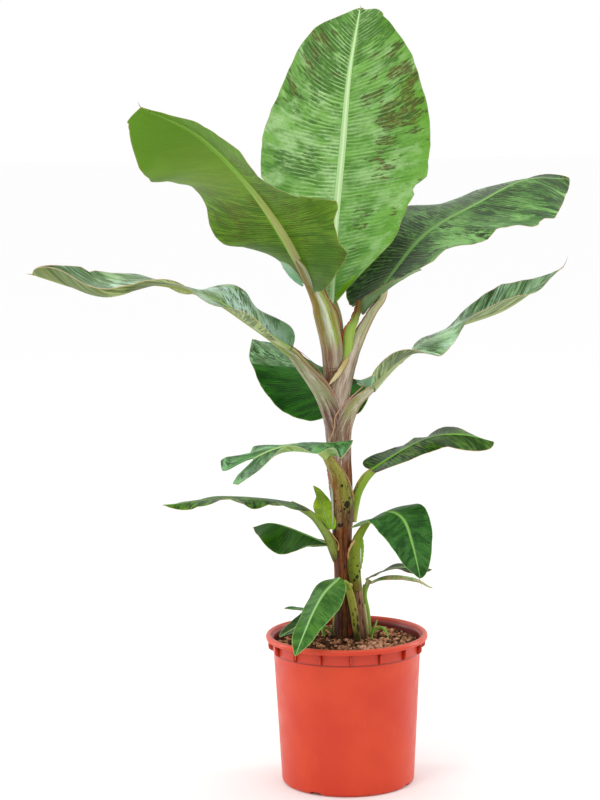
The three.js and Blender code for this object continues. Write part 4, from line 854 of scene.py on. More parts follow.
def stalk_material(name, seed, **look):
    """down = metres from the blade's foot, around = -1..1 round from the plant's front, edge = 1 at the two margins,
    groove = 1 in the channel"""
    p = dict(STALK_LOOK)
    p.update(look)
    g = Shade(name, rough=p["gloss"], Specular_IOR_Level=0.2)
    down, around, edge, groove = g.attr("down"), g.attr("around"), g.attr("edge"), g.attr("groove")
    turn = g.mul(around, math.pi)
    ca, sa = g.op("COSINE", turn), g.op("SINE", turn)

    def skin(d, k, off, detail=3.0, rough=0.6):
        return g.noise(g.xyz(g.mul(down, d), g.add(g.mul(ca, k), seed + off), g.mul(sa, k)), 1.0, detail, rough)

    long, fib, hair = skin(11.0, 1.5, 0.0), skin(15.0, 6.5, 5.0), skin(40.0, 17.0, 25.0)
    wax, cloud = skin(13.0, 2.6, 9.0, 4.0), skin(70.0, 5.0, 13.0, 4.0, 0.7)
    at = g.add(g.add(g.mul(around, 0.5), 0.5), g.mul(g.op("SUBTRACT", fib, 0.5), 0.16))
    stops = lambda bands: [((q + 1) / 2, col) for q, col in bands]
    c = g.ramp(at, stops(p["bands"]))
    lowdown = g.step(g.add(down, g.mul(g.op("SUBTRACT", fib, 0.5), 0.09)), p["low_from"], p["low_to"])
    c = g.mix(lowdown, c, g.ramp(at, stops(p["low"])))
    if p["feet"]:
        a, b, col = p["feet"]
        c = g.mix(g.mul(g.step(g.add(down, g.mul(g.op("SUBTRACT", fib, 0.5), 0.06)), a, b), 0.92), c, col)
    if p["base"]:
        a, b, col = p["base"]
        c = g.mix(g.mul(g.step(g.add(down, g.mul(g.op("SUBTRACT", fib, 0.5), 0.05)), a, b), 0.9), c, col)
    dark = g.add(g.mul(g.step(fib, 0.50, 0.60), 0.50), g.mul(g.step(hair, 0.48, 0.58), 0.50))
    c = g.mix(g.mul(dark, p["streak_mix"]), c, p["streak"])
    white = g.mul(g.step(g.add(g.mul(wax, 0.55), g.mul(hair, 0.45)), 0.48, 0.57), g.step(cloud, 0.36, 0.56, 0.35, 1.0))
    c = g.mix(g.mul(white, p["bloom_mix"]), c, p["bloom"])
    if p["patch"]:
        col, amount = p["patch"]
        worn = g.add(g.mul(skin(26.0, 2.4, 17.0, 4.0, 0.7), 0.6), g.mul(hair, 0.4))
        c = g.mix(g.mul(g.mul(g.step(worn, 0.50, 0.55), amount), lowdown), c, col)
    c = g.mix(g.mul(g.step(cloud, 0.56, 0.64), p["freckle"]), c, p["streak"])
    speck = skin(260.0, 22.0, 41.0, 2.0)
    c = g.mix(g.mul(g.step(speck, 0.58, 0.66), 0.35), c, p["streak"])
    if p["spots"] > 0:
        d, _ = g.cells(g.xyz(g.mul(down, 110.0), g.add(g.mul(ca, 3.0), seed), g.mul(sa, 3.0)), 1.0)
        here = g.mul(g.step(down, p["spots_from"] - 0.01, p["spots_from"] + 0.01), g.step(down, p["spots_to"] - 0.01, p["spots_to"] + 0.01, 1.0, 0.0))
        dots = g.mul(g.mul(g.step(d, 0.20, 0.32, 1.0, 0.0), g.step(skin(34.0, 2.0, 2.0, 2.0), 0.46, 0.54)), here)
        c = g.mix(g.mul(dots, p["spots"]), c, "#241c0e")
    for bd, ba, rd, ra in p["blobs"]:
        u = g.mul(g.op("SUBTRACT", down, bd), 1.0 / rd)
        v = g.mul(g.op("SUBTRACT", around, ba), 1.0 / ra)
        q = g.add(g.add(g.mul(u, u), g.mul(v, v)), g.mul(g.op("SUBTRACT", cloud, 0.5), 3.0))
        c = g.mix(g.step(q, 0.55, 1.0, 0.93, 0.0), c, "#15100a")
    for rd, wide in p["rings"]:
        u = g.op("ABSOLUTE", g.op("SUBTRACT", g.add(down, g.mul(g.op("SUBTRACT", wax, 0.5), 0.016)), rd))
        c = g.mix(g.mul(g.step(u, wide * 0.3, wide, 1.0, 0.0), g.step(fib, 0.35, 0.6, 0.3, 0.85)), c, "#5f4420")
    c = g.mix(groove, c, g.mix(g.step(fib, 0.3, 0.7), p["groove"], g.mix(0.5, p["groove"], p["bloom"])))
    rimmed = g.step(g.add(edge, g.mul(g.op("SUBTRACT", fib, 0.5), 0.5)), 0.40, 0.80)
    c = g.mix(rimmed, c, g.mix(g.step(down, 0.05, 0.14), p["edge"], p["edge_low"]))
    if tuple(p["gain"]) != (1, 1, 1):
        c = g.mix(1.0, c, tuple(p["gain"]) + (1.0,), "MULTIPLY")
    g.colour(c)
    g.rough(g.step(wax, 0.4, 0.7, p["gloss"], p["gloss"] + 0.18))
    g.bump(g.add(g.add(g.mul(fib, 0.7), g.mul(hair, 0.4)), g.mul(cloud, 0.2)), 0.55, 0.0011)
    return g.m


def flap_material(name, seed, top, foot, left, right, streak="#5f4430", streak_mix=0.3, rim=0.14, gloss=0.5, turn=(0.15, 0.75)):
    """along = 0..1 from the top, cross = 0..1 from the left edge"""
    g = Shade(name, rough=gloss, Specular_IOR_Level=0.2)
    along, cross, down = g.attr("along"), g.attr("cross"), g.attr("down")
    fib = g.noise(g.xyz(g.mul(down, 20.0), g.mul(cross, 7.0), seed), 1.0, 3.0, 0.6)
    mott = g.noise(g.xyz(g.mul(down, 130.0), g.mul(cross, 2.5), seed + 4.0), 1.0, 4.0, 0.7)
    c = g.mix(g.step(g.add(along, g.mul(g.op("SUBTRACT", fib, 0.5), 0.5)), turn[0], turn[1]), top, foot)
    c = g.mix(g.mul(g.step(fib, 0.46, 0.66), streak_mix), c, streak)
    wide = g.add(rim, g.mul(g.op("SUBTRACT", mott, 0.5), rim * 1.6))
    if left:
        c = g.mix(g.step(g.op("SUBTRACT", wide, cross), -0.02, 0.05), c, left)
    if right:
        c = g.mix(g.step(g.op("SUBTRACT", wide, g.op("SUBTRACT", 1.0, cross)), -0.02, 0.05), c, right)
    g.colour(c)
    g.bump(g.add(g.mul(fib, 0.7), g.mul(mott, 0.3)), 0.5, 0.0008)
    return g.m


def plain_material(name, a, b, rough=0.6, scale=120.0):
    g = Shade(name, rough=rough)
    o = g.obj()
    n = g.noise(o, scale, 4.0, 0.65)
    g.colour(g.mix(g.step(n, 0.3, 0.7), a, b))
    g.bump(n, 0.5, 0.0006)
    return g.m


# ------------------------------------------------------------------ stalks and stems
# Rows of the visible sheaths where they are wider or longer than the plain limbs: x, y, z, radius in mm.
SHEATHS = {
    "petiole_1": [[-20, 13, 924, 9.0], [-13.6, 19, 893.2, 11.4], [-12.3, 18, 852, 14.2], [-11, 10, 811.1, 15.5], [-11.6, 2, 768.2, 15.5],
                  [-12.1, 0, 724.4, 14]],
    "petiole_2": [[-92.5, -78.5, 1022.5, 2.0], [-83.0, -71.5, 1008.0, 6.6], [-73.4, -62.0, 995.0, 9.4], [-62.7, -46.5, 972.3, 12.5], [-51.1, -30.0, 947.3, 15.2], [-41.0, -25.0, 925.2, 18.8], [-36.4, -22.0, 908, 20.4],
                  [-31.0, -22, 886, 20.9], [-25.2, -19, 860, 20.8], [-21.6, -14, 831.9, 20.0], [-21.2, -6, 802.6, 18.4], [-19.4, 1, 768, 16.5], [-14, 4, 735, 14]],
    "petiole_3": [[79, 4, 958, 7.0], [72.4, 7, 931.6, 8.3], [57.4, 9, 911.4, 9.6], [42, 10, 885.7, 11.4], [25.8, 7, 856.4, 14.2],
                  [11.8, 1, 826.9, 17.5], [0, -4, 793.3, 19.6], [-9, -4, 755.4, 20.6], [-12.2, 0, 713, 20.4], [-12, 0, 680, 18]],
    "petiole_4": [[52, -32, 768, 8.6], [40, -27, 757, 10.5], [20, -17, 738.5, 13.7], [2.8, -10, 710, 17.6], [-7.9, -5, 679, 21.0],
                  [-10.1, 0, 640, 22.4], [-9.8, 0, 586, 21.6], [-7, 0, 540, 19.0]],
    "petiole_5": [[-101, -48, 840, 10.2], [-92, -42, 829, 11.2], [-71.9, -30, 801.8, 13.7], [-49.6, -20, 772.1, 17.0], [-31, -10, 740.7, 20.4],
                  [-19, -3, 705.5, 21.8], [-13.7, 0, 666.9, 21.9], [-11.3, 0, 620.7, 20.6], [-8, 0, 590, 18.5]],
    "petiole_6": [[-13.9, 4, 715.4, 9.5], [-12.1, 12, 699.5, 11.4], [-12.4, 14, 676.4, 13.3], [-12.7, 8, 650, 13.3]],
    "petiole_7": [[-33.6, -42, 639, 10.0], [-23.3, -37, 621.1, 13.0], [-14.8, -27, 604.1, 15.0], [-9.2, -10, 574.5, 18.8], [-6.0, -3, 550, 21.2],
                  [-5.8, 0, 520, 21.2], [-6.2, 0, 485, 18.2]],
    "petiole_8": [[53.6, 11, 602.6, 7.2], [36.2, 10, 583.8, 9.1], [24.5, 8, 561, 8.8], [19.4, 6, 534.3, 7.0], [16.2, 4, 503.7, 4.8]],
    "petiole_9": [[-99.9, 14, 540.3, 8.1], [-80.9, 2, 532.1, 8.1], [-60.1, -7, 518.2, 8.3], [-45.2, -13, 499.7, 8.8], [-32.1, -14, 478.3, 9.7],
                  [-24.6, -10, 456.1, 9.8], [-18.1, -3, 431.5, 7.7]],
    "petiole_12": [[41, -38, 512, 6.8], [28.5, -33, 492.8, 8.8], [20, -25, 472.1, 10.2], [15.1, -17, 443.5, 12.0], [15.9, -12, 409.7, 12.2],
                   [18.4, -8, 374.2, 10.8]],
    "stem_main": [[-3, 0, 272, 18.2], [-5, 0, 343, 16.8], [-5, 0, 402, 16.3], [-6, 0, 460, 17.7], [-6, 0, 518, 19.1], [-7, 0, 586, 20.3],
                  [-9, 0, 644, 19.6], [-11, 0, 692, 16.5], [-12, 0, 732, 15], [-13, 0, 766, 12]],
    "stem_right": [[26.5, 4, 273, 11.6], [24.6, 3, 300, 11.2], [23, 1, 324, 11.1], [20.4, -2, 362.7, 11.1], [17.8, -6, 402.6, 10.5],
                   [18.1, -8, 436.1, 10.0], [20, -9, 470, 7.0]],
    "stem_front": [[19.9, -30, 280, 7.0], [19.0, -30, 292.9, 7.1], [15.5, -30, 322.2, 7.3], [11.1, -29, 351.2, 7.5], [5.6, -28, 376.3, 6.7], [2.0, -27, 389.7, 5.2]],
}


def limb_rows(name):
    return np.asarray(SHEATHS.get(name, LIMBS[name]), float) / 1000


def front_angle(X, Y, S, N, T):
    """angle of a ring's points round the limb, 0 on the plant's front, -1..1 the whole way round, right side positive"""
    front = np.array([0.0, -1.0, 0.0]) - T * (T @ np.array([0.0, -1.0, 0.0]))[:, None]
    front = unit(front)
    right = np.cross(T, front)
    right = right * np.sign(right[:, :1] + 1e-9)
    fx, fy = (front * S).sum(1)[:, None], (front * N).sum(1)[:, None]
    rx, ry = (right * S).sum(1)[:, None], (right * N).sum(1)[:, None]
    return np.arctan2(X * rx + Y * ry, X * fx + Y * fy) / np.pi


def stalk_piece(name, seed, opening=((0, 0.34), (0.35, 0.26), (0.7, 0.10), (1, 0.04)), depth=((0, 0.7), (0.35, 0.45), (0.7, 0.05), (1, 0.0)),
                turn=0.0, lip=0.0008, ripple=0.022, ref=None):
    """A leaf stalk: a round back and an open channel on its upper side, which closes towards the sheath.
    opening = half the opening as a share of a half turn, depth = depth of the channel in radii, both down the stalk."""
    rows = limb_rows(name)
    leaf = BLADES.get("leaf_" + name[8:]) if name.startswith("petiole_") else None
    length = np.linalg.norm(np.diff(rows[:, :3], axis=0), axis=1).sum()
    steps = max(24, int(length / 0.0022))
    C, L = even(rows, steps)
    if leaf is not None and ref is None:
        p, d, up = blade_foot(leaf)
        ref = up
    elif ref is None:
        ref = np.array([0.13, -0.99, 0.05])
    T, N, S = frames(C[:, :3], np.asarray(ref, float))
    v = np.linspace(0, 1, steps + 1)
    sm = v * v * (3 - 2 * v)
    curve = lambda pts: np.interp(v, [q[0] for q in pts], [q[1] for q in pts])
    a = np.pi * curve(opening)
    dp = curve(depth)
    r = C[:, 3]
    ang = turn * sm
    N, S = N * np.cos(ang)[:, None] + S * np.sin(ang)[:, None], S * np.cos(ang)[:, None] - N * np.sin(ang)[:, None]
    back, chan = 44, 12
    wob = Wobble(seed)
    ring, edge, groove = [], [], []
    for j in range(back + 1):
        psi = a + (2 * np.pi - 2 * a) * j / back
        m = max(0.0, 1 - min(j, back - j) / 1.6)
        rr = r * (1 + ripple * wob(psi * 3.0, v * L / 0.02) + 0.5 * ripple * wob(psi * 9.0 + 5, v * L / 0.05)) + lip * m * (1 + 0.8 * wob(v * L / 0.006, 2.0))
        ring.append((rr * np.sin(psi), rr * np.cos(psi)))
        edge.append(np.full(steps + 1, 1.0 if m > 0.9 else (0.40 if m > 0.3 else 0.0)))
        groove.append(np.zeros(steps + 1))
    # now from the left margin across the channel back to the right one
    for j in range(1, chan):
        x = -1 + 2 * j / chan
        x0 = r * np.sin(a) * 0.97
        y0 = r * np.cos(a)
        bow = np.clip(1 - x * x, 0, 1) ** 0.7
        # where the channel is nearly closed it bulges out to finish the round
        full = (r - y0) * bow
        ring.append((x * x0, y0 - dp * r * bow + full * np.clip(1 - dp / 0.25, 0, 1)))
        edge.append(np.full(steps + 1, 0.5 if j in (1, chan - 1) else 0.0))
        groove.append(np.full(steps + 1, 1.0) * np.clip(dp / 0.3, 0, 1))
    X = np.stack([q[0] for q in ring], 1)
    Y = np.stack([q[1] for q in ring], 1)
    P = C[:, None, :3] + X[..., None] * S[:, None] + Y[..., None] * N[:, None]
    m = P.shape[1]
    co = P.reshape(-1, 3)
    q = ring_faces(steps + 1, m)
    c0, c1 = len(co), len(co) + 1
    co = np.vstack([co, P[0].mean(0), P[-1].mean(0)])
    j = np.arange(m)
    tris = np.concatenate([
        np.stack([np.full(m, c0), (j + 1) % m, j], -1),
        np.stack([np.full(m, c1), steps * m + j, steps * m + (j + 1) % m], -1),
    ])
    down = np.repeat((v * L)[:, None], m, 1)
    at = dict(down=down, around=front_angle(X, Y, S, N, T), edge=np.stack(edge, 1), groove=np.stack(groove, 1))
    at = {k: np.r_[A.reshape(-1), A[0].mean(), A[-1].mean()] for k, A in at.items()}
    vol = np.einsum("ij,ij->i", co[q[:, 0]], np.cross(co[q[:, 1]], co[q[:, 2]])).sum()
    if vol < 0:
        q, tris = q[:, ::-1], tris[:, ::-1]
    return mesh_object(name + "_stalk", co, q, tris, at)


def stem_piece(name, seed, wraps=(), around_n=96, ripple=0.035, step=0.0022):
    """A false stem: tight leaf sheaths round each other. wraps = (angle at the foot, turns over the length,
    height of the edge in m) of each sheath edge that shows."""
    rows = limb_rows(name)
    length = np.linalg.norm(np.diff(rows[:, :3], axis=0), axis=1).sum()
    steps = int(length / step)
    C, L = even(rows, steps)
    T, N, S = frames(C[:, :3], np.array([0.13, -0.99, 0.05]))
    v = np.linspace(0, 1, steps + 1)
    th = 2 * np.pi * np.arange(around_n) / around_n
    V, TH = np.meshgrid(v, th, indexing="ij")
    wob = Wobble(seed)
    r = C[:, 3][:, None] * np.ones_like(TH)
    fib = wob(TH * 10.0, V * L / 0.06) * 0.5 + wob(TH * 22.0 + 7, V * L / 0.03) * 0.5
    r = r * (1 + ripple * 0.6 * fib + ripple * 0.8 * wob(TH * 2.0 + 1, V * L / 0.04))
    edge = np.zeros_like(r)
    for a0, turns, high in wraps:
        ta = a0 + 2 * np.pi * turns * V + 0.25 * wob(V * L / 0.05 + a0, 3.0)
        d = (TH - ta + np.pi) % (2 * np.pi) - np.pi
        r = r + high * np.clip(1 - d / 0.9, 0, 1) * (d > 0) - high * 0.5 * np.exp(-((d / 0.06) ** 2)) * (d < 0.03)
        edge = np.maximum(edge, np.exp(-(((d - 0.03) / 0.045) ** 2)) * (0.55 + 0.45 * wob(V * L / 0.02, a0)))
    X, Y = r * np.cos(TH), r * np.sin(TH)
    P = C[:, None, :3] + X[..., None] * S[:, None] + Y[..., None] * N[:, None]
    m = around_n
    co = P.reshape(-1, 3)
    q = ring_faces(steps + 1, m)
    c0, c1 = len(co), len(co) + 1
    co = np.vstack([co, P[0].mean(0), P[-1].mean(0)])
    j = np.arange(m)
    tris = np.concatenate([
        np.stack([np.full(m, c0), (j + 1) % m, j], -1),
        np.stack([np.full(m, c1), steps * m + j, steps * m + (j + 1) % m], -1),
    ])
    at = dict(down=(1 - V) * L, around=front_angle(X, Y, S, N, T), edge=edge, groove=np.zeros_like(r))
    at = {k: np.r_[A.reshape(-1), A[0].mean(), A[-1].mean()] for k, A in at.items()}
    vol = np.einsum("ij,ij->i", co[q[:, 0]], np.cross(co[q[:, 1]], co[q[:, 2]])).sum()
    if vol < 0:
        q, tris = q[:, ::-1], tris[:, ::-1]
    return mesh_object(name + "_sheaths", co, q, tris, at)


# ------------------------------------------------------------------ thin margins and folds of the sheaths
# Rows from the top down: x and z of the left edge, x and z of the right edge, y of both, in mm.
FLAPS = {
    "wing": [[25.4, 929.8, 34, 927.7, 8], [22.9, 919.7, 32.7, 917.7, 4], [19.3, 908.7, 33.3, 906.6, 1], [15.4, 899.3, 30.3, 897.3, 0],
        [11.6, 891, 28.5, 889.8, -1], [3.9, 880.8, 24.6, 878.7, -3], [-2, 871.7, 21.4, 869.5, -6], [-3.7, 855, 18.2, 854.7, -9],
        [-4.7, 836.4, 16.4, 838, -12], [-4.5, 825.2, 12.3, 826.9, -14], [-3.9, 814, 6.5, 815.8, -16]],
    "straw": [[6, 824.6, 9, 821.7, -18], [-1.7, 816.5, 8.5, 814.4, -21], [-8.8, 805.5, 1.5, 801.6, -24],
        [-16.5, 794.5, -8.1, 787.7, -26], [-23.6, 784.2, -19.1, 778.5, -26.5], [-29.4, 773.8, -27.9, 771.9, -26]],
    "margin5": [[-105.8, 854.6, -103.3, 851.9, -46], [-83.7, 838.1, -81.8, 835.4, -36], [-63.1, 820.2, -60.5, 817.5, -30],
        [-50.1, 804.3, -47.5, 800.3, -28], [-40.6, 787.4, -36.7, 783.4, -30], [-29.6, 770.3, -25.7, 766.3, -31],
        [-18.4, 754.5, -14.5, 749.1, -29], [-10.5, 738.5, -8.5, 736.5, -26]],
    "margin4": [[33.3, 769.5, 34.5, 768.1, -36], [15.3, 752.8, 16.6, 751, -32], [-1.5, 736.6, 0.2, 734.9, -30],
        [-12.9, 722.5, -11.2, 720.7, -30], [-19.8, 708.4, -17.4, 707.1, -29], [-20.2, 696.2, -17.6, 695.3, -28.5],
        [-23.2, 684.3, -21, 682.5, -28], [-28, 671.3, -25.9, 670.4, -27], [-30.3, 661.4, -29, 660.5, -24]],
    "margin7": [[-24.2, 639.6, -21.4, 637.6, -46], [-12.9, 625.8, -10.1, 622.9, -38], [-3.4, 610, -0.3, 606.2, -30],
        [4.1, 591.7, 8, 587.8, -24], [10.7, 571.1, 14.4, 567.2, -16], [14.4, 549.8, 17, 546.8, -10]],
    "margin12": [[14.1, 477.2, 17.8, 475.2, -35], [7.4, 465.9, 12.1, 463.9, -31], [2.8, 453.6, 6.6, 451.6, -27],
        [2.2, 439.1, 5, 437.1, -22]],
    "flange12": [[26.7, 484, 29.5, 484, -26], [27.6, 467.4, 33.6, 469.2, -20], [28.5, 449.6, 34.2, 451.4, -18],
        [28.4, 431.7, 31.8, 431.7, -16], [27.5, 415.8, 29, 415.8, -14]],
    "margin9": [[-35.8, 497, -33, 495, -24], [-28.4, 488.6, -24.6, 485.6, -26], [-20.9, 477.9, -17.1, 474.9, -26],
        [-15.2, 467.7, -12.6, 464.8, -24], [-16.3, 454.6, -13.5, 452.6, -21]],
    "pale3": [[6.8, 791.3, 9, 791.3, -18], [7.4, 776, 10, 776, -17], [7.7, 760.6, 9.9, 760.6, -16], [7.2, 747.2, 9, 747.2, -15]],
    "red7": [[-35.2, 615.9, -32.1, 614.9, -16], [-34.2, 604.8, -30, 604.8, -19], [-32.1, 589.3, -28.7, 589.2, -18],
        [-31.1, 573.6, -28, 573.5, -16]],
    "white7": [[-28.7, 581.7, -24.6, 581.7, -19], [-27.5, 558.8, -22.6, 558.7, -20], [-26.3, 531.8, -22.5, 531.8, -20],
        [-25.4, 500.6, -23.2, 500.5, -18]],
    "flange3": [[142.8, 990.6, 146.5, 988.1, -45.9], [128.6, 985.8, 130.5, 982, -48.6], [107.8, 974.4, 112.5, 971.3, -45.2],
        [89.4, 967.1, 96.3, 960.8, -37.5], [67.9, 952.7, 85.6, 950.2, -12.8], [52.6, 942.1, 71.4, 937.1, 3.8],
        [39, 933.3, 60.1, 925.4, 8.8], [32.6, 922.6, 48.8, 912.9, 13], [32.6, 910, 40.8, 902.2, 16.1], [34.8, 901.9, 37.1, 899.2, 18.4]],
    "lobe4": [[21.6, 778.2, 22.3, 774.5, 5.8], [31, 778.3, 30, 770.7, -4.4], [42.1, 782.4, 39.7, 768.3, -13.6],
        [51.2, 792.7, 47.9, 770.1, -56.2], [56.2, 794.1, 54.6, 781.8, -54.2]],
    "sliver1": [[23.2, 980, 24.7, 978.1, -36.7], [13.3, 972.7, 15.3, 964.1, -33], [2.4, 962.9, 4.2, 948.2, -21.4],
        [-7.6, 952.4, -5.1, 936.1, -10.7], [-13.6, 943.4, -11.9, 927.9, -6.2]],
    "fray2": [[-37.5, 954.4, -33.8, 954, -30], [-37.6, 949.1, -32.7, 949.6, -32], [-34.7, 941.7, -29.8, 942.5, -33],
        [-30.7, 934.1, -26.9, 935, -33], [-24.7, 926.1, -21, 927.2, -31], [-18.8, 918.3, -15.8, 919.4, -28],
        [-13.6, 907.8, -10.6, 908.6, -26], [-8.9, 892.5, -5.8, 892.9, -24], [-6, 875.4, -3.4, 875.4, -23]],
    "dried_left": [[-25, 359.6, -21.2, 359.6, -12], [-24.8, 344, -20.9, 344, -12], [-25, 320.8, -21.6, 320.8, -13],
        [-24.9, 301.3, -22.6, 301.2, -13], [-24.3, 285.6, -22.7, 285.6, -13]],
    "back_edge": [[33.2, 345.4, 36.3, 345.4, -4], [35, 325.8, 38.8, 325.8, -4], [37.1, 306, 41.3, 306, -3], [39.7, 286.1, 42, 286.1, -2]],
    "red_low": [[7.3, 315.7, 10, 315.6, -18], [6.4, 302, 10.3, 302, -18], [5.9, 288.3, 9.7, 288.3, -18]],
    "front_top": [[-1.8, 397.4, 11.1, 392.6, -36], [2, 392.3, 11.5, 388.6, -35.5], [6.5, 388.6, 12.2, 386.6, -35]],
    "back_sheath7": [[-31.7, 623.5, -25.7, 621.7, -22], [-32.6, 615.4, -26.6, 613.8, -23]],
    "fold2": [[-117.7, 1009.5, -115.9, 1010.2, -78.1], [-111.5, 995.9, -100.3, 1002.6, -68.1], [-103.3, 983, -89.3, 989.9, -58.6],
        [-92.3, 971, -81.1, 977.4, -50.6], [-84, 964.1, -77.5, 968.7, -47.6], [-76.8, 959.6, -74.5, 962.1, -45.5]],
}


def flap_piece(name, rows, seed, thick=0.6, bulge=0.25, ragged=(0.0, 0.0), slope=0.0):
    """A thin closed strip between a left and a right edge, bulging a little to the front."""
    rows = np.asarray(rows, float)
    C, L = even(np.column_stack([(rows[:, 0] + rows[:, 2]) / 2, rows[:, 4], (rows[:, 1] + rows[:, 3]) / 2, rows]), 90)
    d = C[:, 3:]
    A = np.stack([d[:, 0], d[:, 4] + slope * 0.5 * np.hypot(d[:, 0] - d[:, 2], d[:, 1] - d[:, 3]), d[:, 1]], -1)
    B = np.stack([d[:, 2], d[:, 4] - slope * 0.5 * np.hypot(d[:, 0] - d[:, 2], d[:, 1] - d[:, 3]), d[:, 3]], -1)
    n = len(C)
    wob = Wobble(seed)
    wide = np.linalg.norm(B - A, axis=1)
    tt = np.arange(n) / (n - 1) * L
    x = B - A
    x = x / (wide[:, None] + 1e-9)
    A = A - x * (ragged[0] * np.clip(wob(tt / 2.2, 1.0) + 0.6 * wob(tt / 0.9, 5.0), -0.5, 1))[:, None]
    B = B + x * (ragged[1] * np.clip(wob(tt / 2.2, 3.0) + 0.6 * wob(tt / 0.9, 8.0), -0.5, 1))[:, None]
    m = 11
    c = np.linspace(0, 1, m)
    G = A[:, None] + (B - A)[:, None] * c[None, :, None]
    G[..., 1] -= (bulge * np.minimum(wide, 14))[:, None] * np.sin(np.pi * c)[None]
    nn = unit(np.cross(np.gradient(G, axis=1), np.gradient(G, axis=0)))
    nn = nn * np.sign(-nn[..., 1:2] + 1e-9)
    half = thick / 2 * (0.35 + 0.65 * np.sin(np.pi * c) ** 0.5)[None, :, None]
    top, low = G + nn * half, G - nn * half
    ring = np.concatenate([top, low[:, ::-1]], axis=1) / 1000
    M = 2 * m
    quads = [ring_faces(n, M)]
    for row in (0, n - 1):
        j = np.arange(m - 1)
        q = np.stack([row * M + j, row * M + j + 1, row * M + M - 2 - j, row * M + M - 1 - j], -1)
        quads.append(q[:, ::-1] if row == 0 else q)
    quads = np.concatenate(quads)
    co = ring.reshape(-1, 3)
    vol = np.einsum("ij,ij->i", co[quads[:, 0]], np.cross(co[quads[:, 1]], co[quads[:, 2]])).sum()
    if vol < 0:
        quads = quads[:, ::-1]
    both = lambda q: np.concatenate([q, q[:, ::-1]], axis=1).reshape(-1)
    one = np.ones((n, m))
    at = dict(along=both((tt / L)[:, None] * one), cross=both(c[None] * one), down=both(tt[:, None] / 1000 * one))
    return mesh_object(name, co, quads, attrs=at)


# ------------------------------------------------------------------ pot
def pot_piece():
    H, sh = POT_HEIGHT, POT_HEIGHT - POT_BAND_H
    inner = POT_BAND_R - POT_WALL
    prof = [(0.0, 0.0), (0.06, 0.0), (POT_BASE_R - POT_CORNER, 0.0)]
    for a in range(12, 91, 13):
        t = math.radians(min(a, 90))
        prof.append((POT_BASE_R - POT_CORNER + POT_CORNER * math.sin(t), POT_CORNER - POT_CORNER * math.cos(t)))
    for i in range(1, 24):
        z = POT_CORNER + (sh - POT_CORNER) * i / 24
        prof.append((POT_BASE_R + (POT_BODY_R - POT_BASE_R) * i / 24, z))
    prof += [(POT_BODY_R, sh - 0.0012), (POT_BODY_R + 0.0004, sh + 0.0002), (POT_BAND_R - 0.0003, sh + 0.0016),
             (POT_BAND_R, sh + 0.0028), (POT_BAND_R, H - POT_LIP_H - 0.006), (POT_BAND_R, H - POT_LIP_H - 0.0008),
             (POT_BAND_R + 0.0012, H - POT_LIP_H), (POT_RIM_R - 0.0026, H - POT_LIP_H), (POT_RIM_R - 0.0008, H - POT_LIP_H + 0.0008),
             (POT_RIM_R, H - POT_LIP_H + 0.0028)]
    # rolled top of the rim
    for a in range(0, 181, 15):
        t = math.radians(a)
        prof.append((POT_RIM_R - 0.0052 + 0.0052 * math.cos(t), H - 0.0052 + 0.0052 * math.sin(t)))
    prof += [(inner + 0.0022, H - 0.0062), (inner + 0.0004, H - 0.009), (inner, H - 0.013), (inner, sh + 0.002),
             (POT_BODY_R - POT_WALL, sh), (POT_BASE_R - POT_WALL, POT_CORNER + 0.002), (POT_BASE_R - POT_CORNER, POT_FLOOR),
             (0.0, POT_FLOOR)]
    prof = np.array(prof)
    n = 360
    th = 2 * np.pi * np.arange(n) / n
    R, TH = np.meshgrid(prof[:, 0], th, indexing="ij")
    Z = np.repeat(prof[:, 1][:, None], n, 1)
    wob = Wobble(5)
    # drainage notches in the bottom edge
    lo = (Z < 0.0062) & (R > POT_BASE_R - POT_CORNER - 0.001) & (np.arange(len(prof))[:, None] < 12)
    for a in (-121, -29, 61, 151):
        d = (np.degrees(TH) - a + 180) % 360 - 180
        f = np.clip((5.6 - np.abs(d)) / 0.9, 0, 1)
        Z = np.where(lo, Z + (0.0062 - Z) * f, Z)
    X, Y = R * np.cos(TH), R * np.sin(TH)
    co = np.stack([X, Y, Z], -1)
    rows = len(prof)
    pts = co[1:-1].reshape(-1, 3)
    q = ring_faces(rows - 2, n)
    c0, c1 = len(pts), len(pts) + 1
    pts = np.vstack([pts, [0, 0, 0], [0, 0, POT_FLOOR]])
    j = np.arange(n)
    last = (rows - 3) * n
    tris = np.concatenate([
        np.stack([np.full(n, c0), (j + 1) % n, j], -1),
        np.stack([np.full(n, c1), last + j, last + (j + 1) % n], -1),
    ])
    pile = Pile()
    pile.add(pts, q, tris)
    # fins: rounded ribs under the rim
    for k in range(FINS):
        a = math.radians(FIN_TURN + 360 / FINS * k)
        c, s = math.cos(a), math.sin(a)
        top = H - POT_LIP_H + 0.0004
        r1 = POT_BAND_R - 0.0010
        outline = [(r1, top), (FIN_R, top), (FIN_R, top - 0.0150), (FIN_R - 0.0007, top - 0.0178), (FIN_R - 0.0024, top - 0.0198),
                   (FIN_R - 0.0044, top - 0.0210), (POT_BAND_R + 0.0020, top - 0.0220), (POT_BAND_R + 0.0012, top - 0.0226), (r1, top - 0.0226)]
        half = FIN_T / 2
        rings = []
        for off, shrink in ((-half, 0.0005), (-half * 0.7, 0.0), (half * 0.7, 0.0), (half, 0.0005)):
            for rr, zz in outline:
                x = rr - (shrink if rr > r1 + 0.001 else 0)
                z = zz + (shrink if zz < top - 0.001 else 0)
                rings.append((x * c - off * s, x * s + off * c, z))
        m = len(outline)
        faces = ring_faces(4, m)
        cap = []
        for base, flip in ((0, True), (3 * m, False)):
            ids = [base + i for i in range(m)]
            for i in range(1, m - 1):
                t = (ids[0], ids[i], ids[i + 1])
                cap.append(t[::-1] if flip else t)
        pile.add(rings, faces, cap)
    return pile.make("pot_shell")


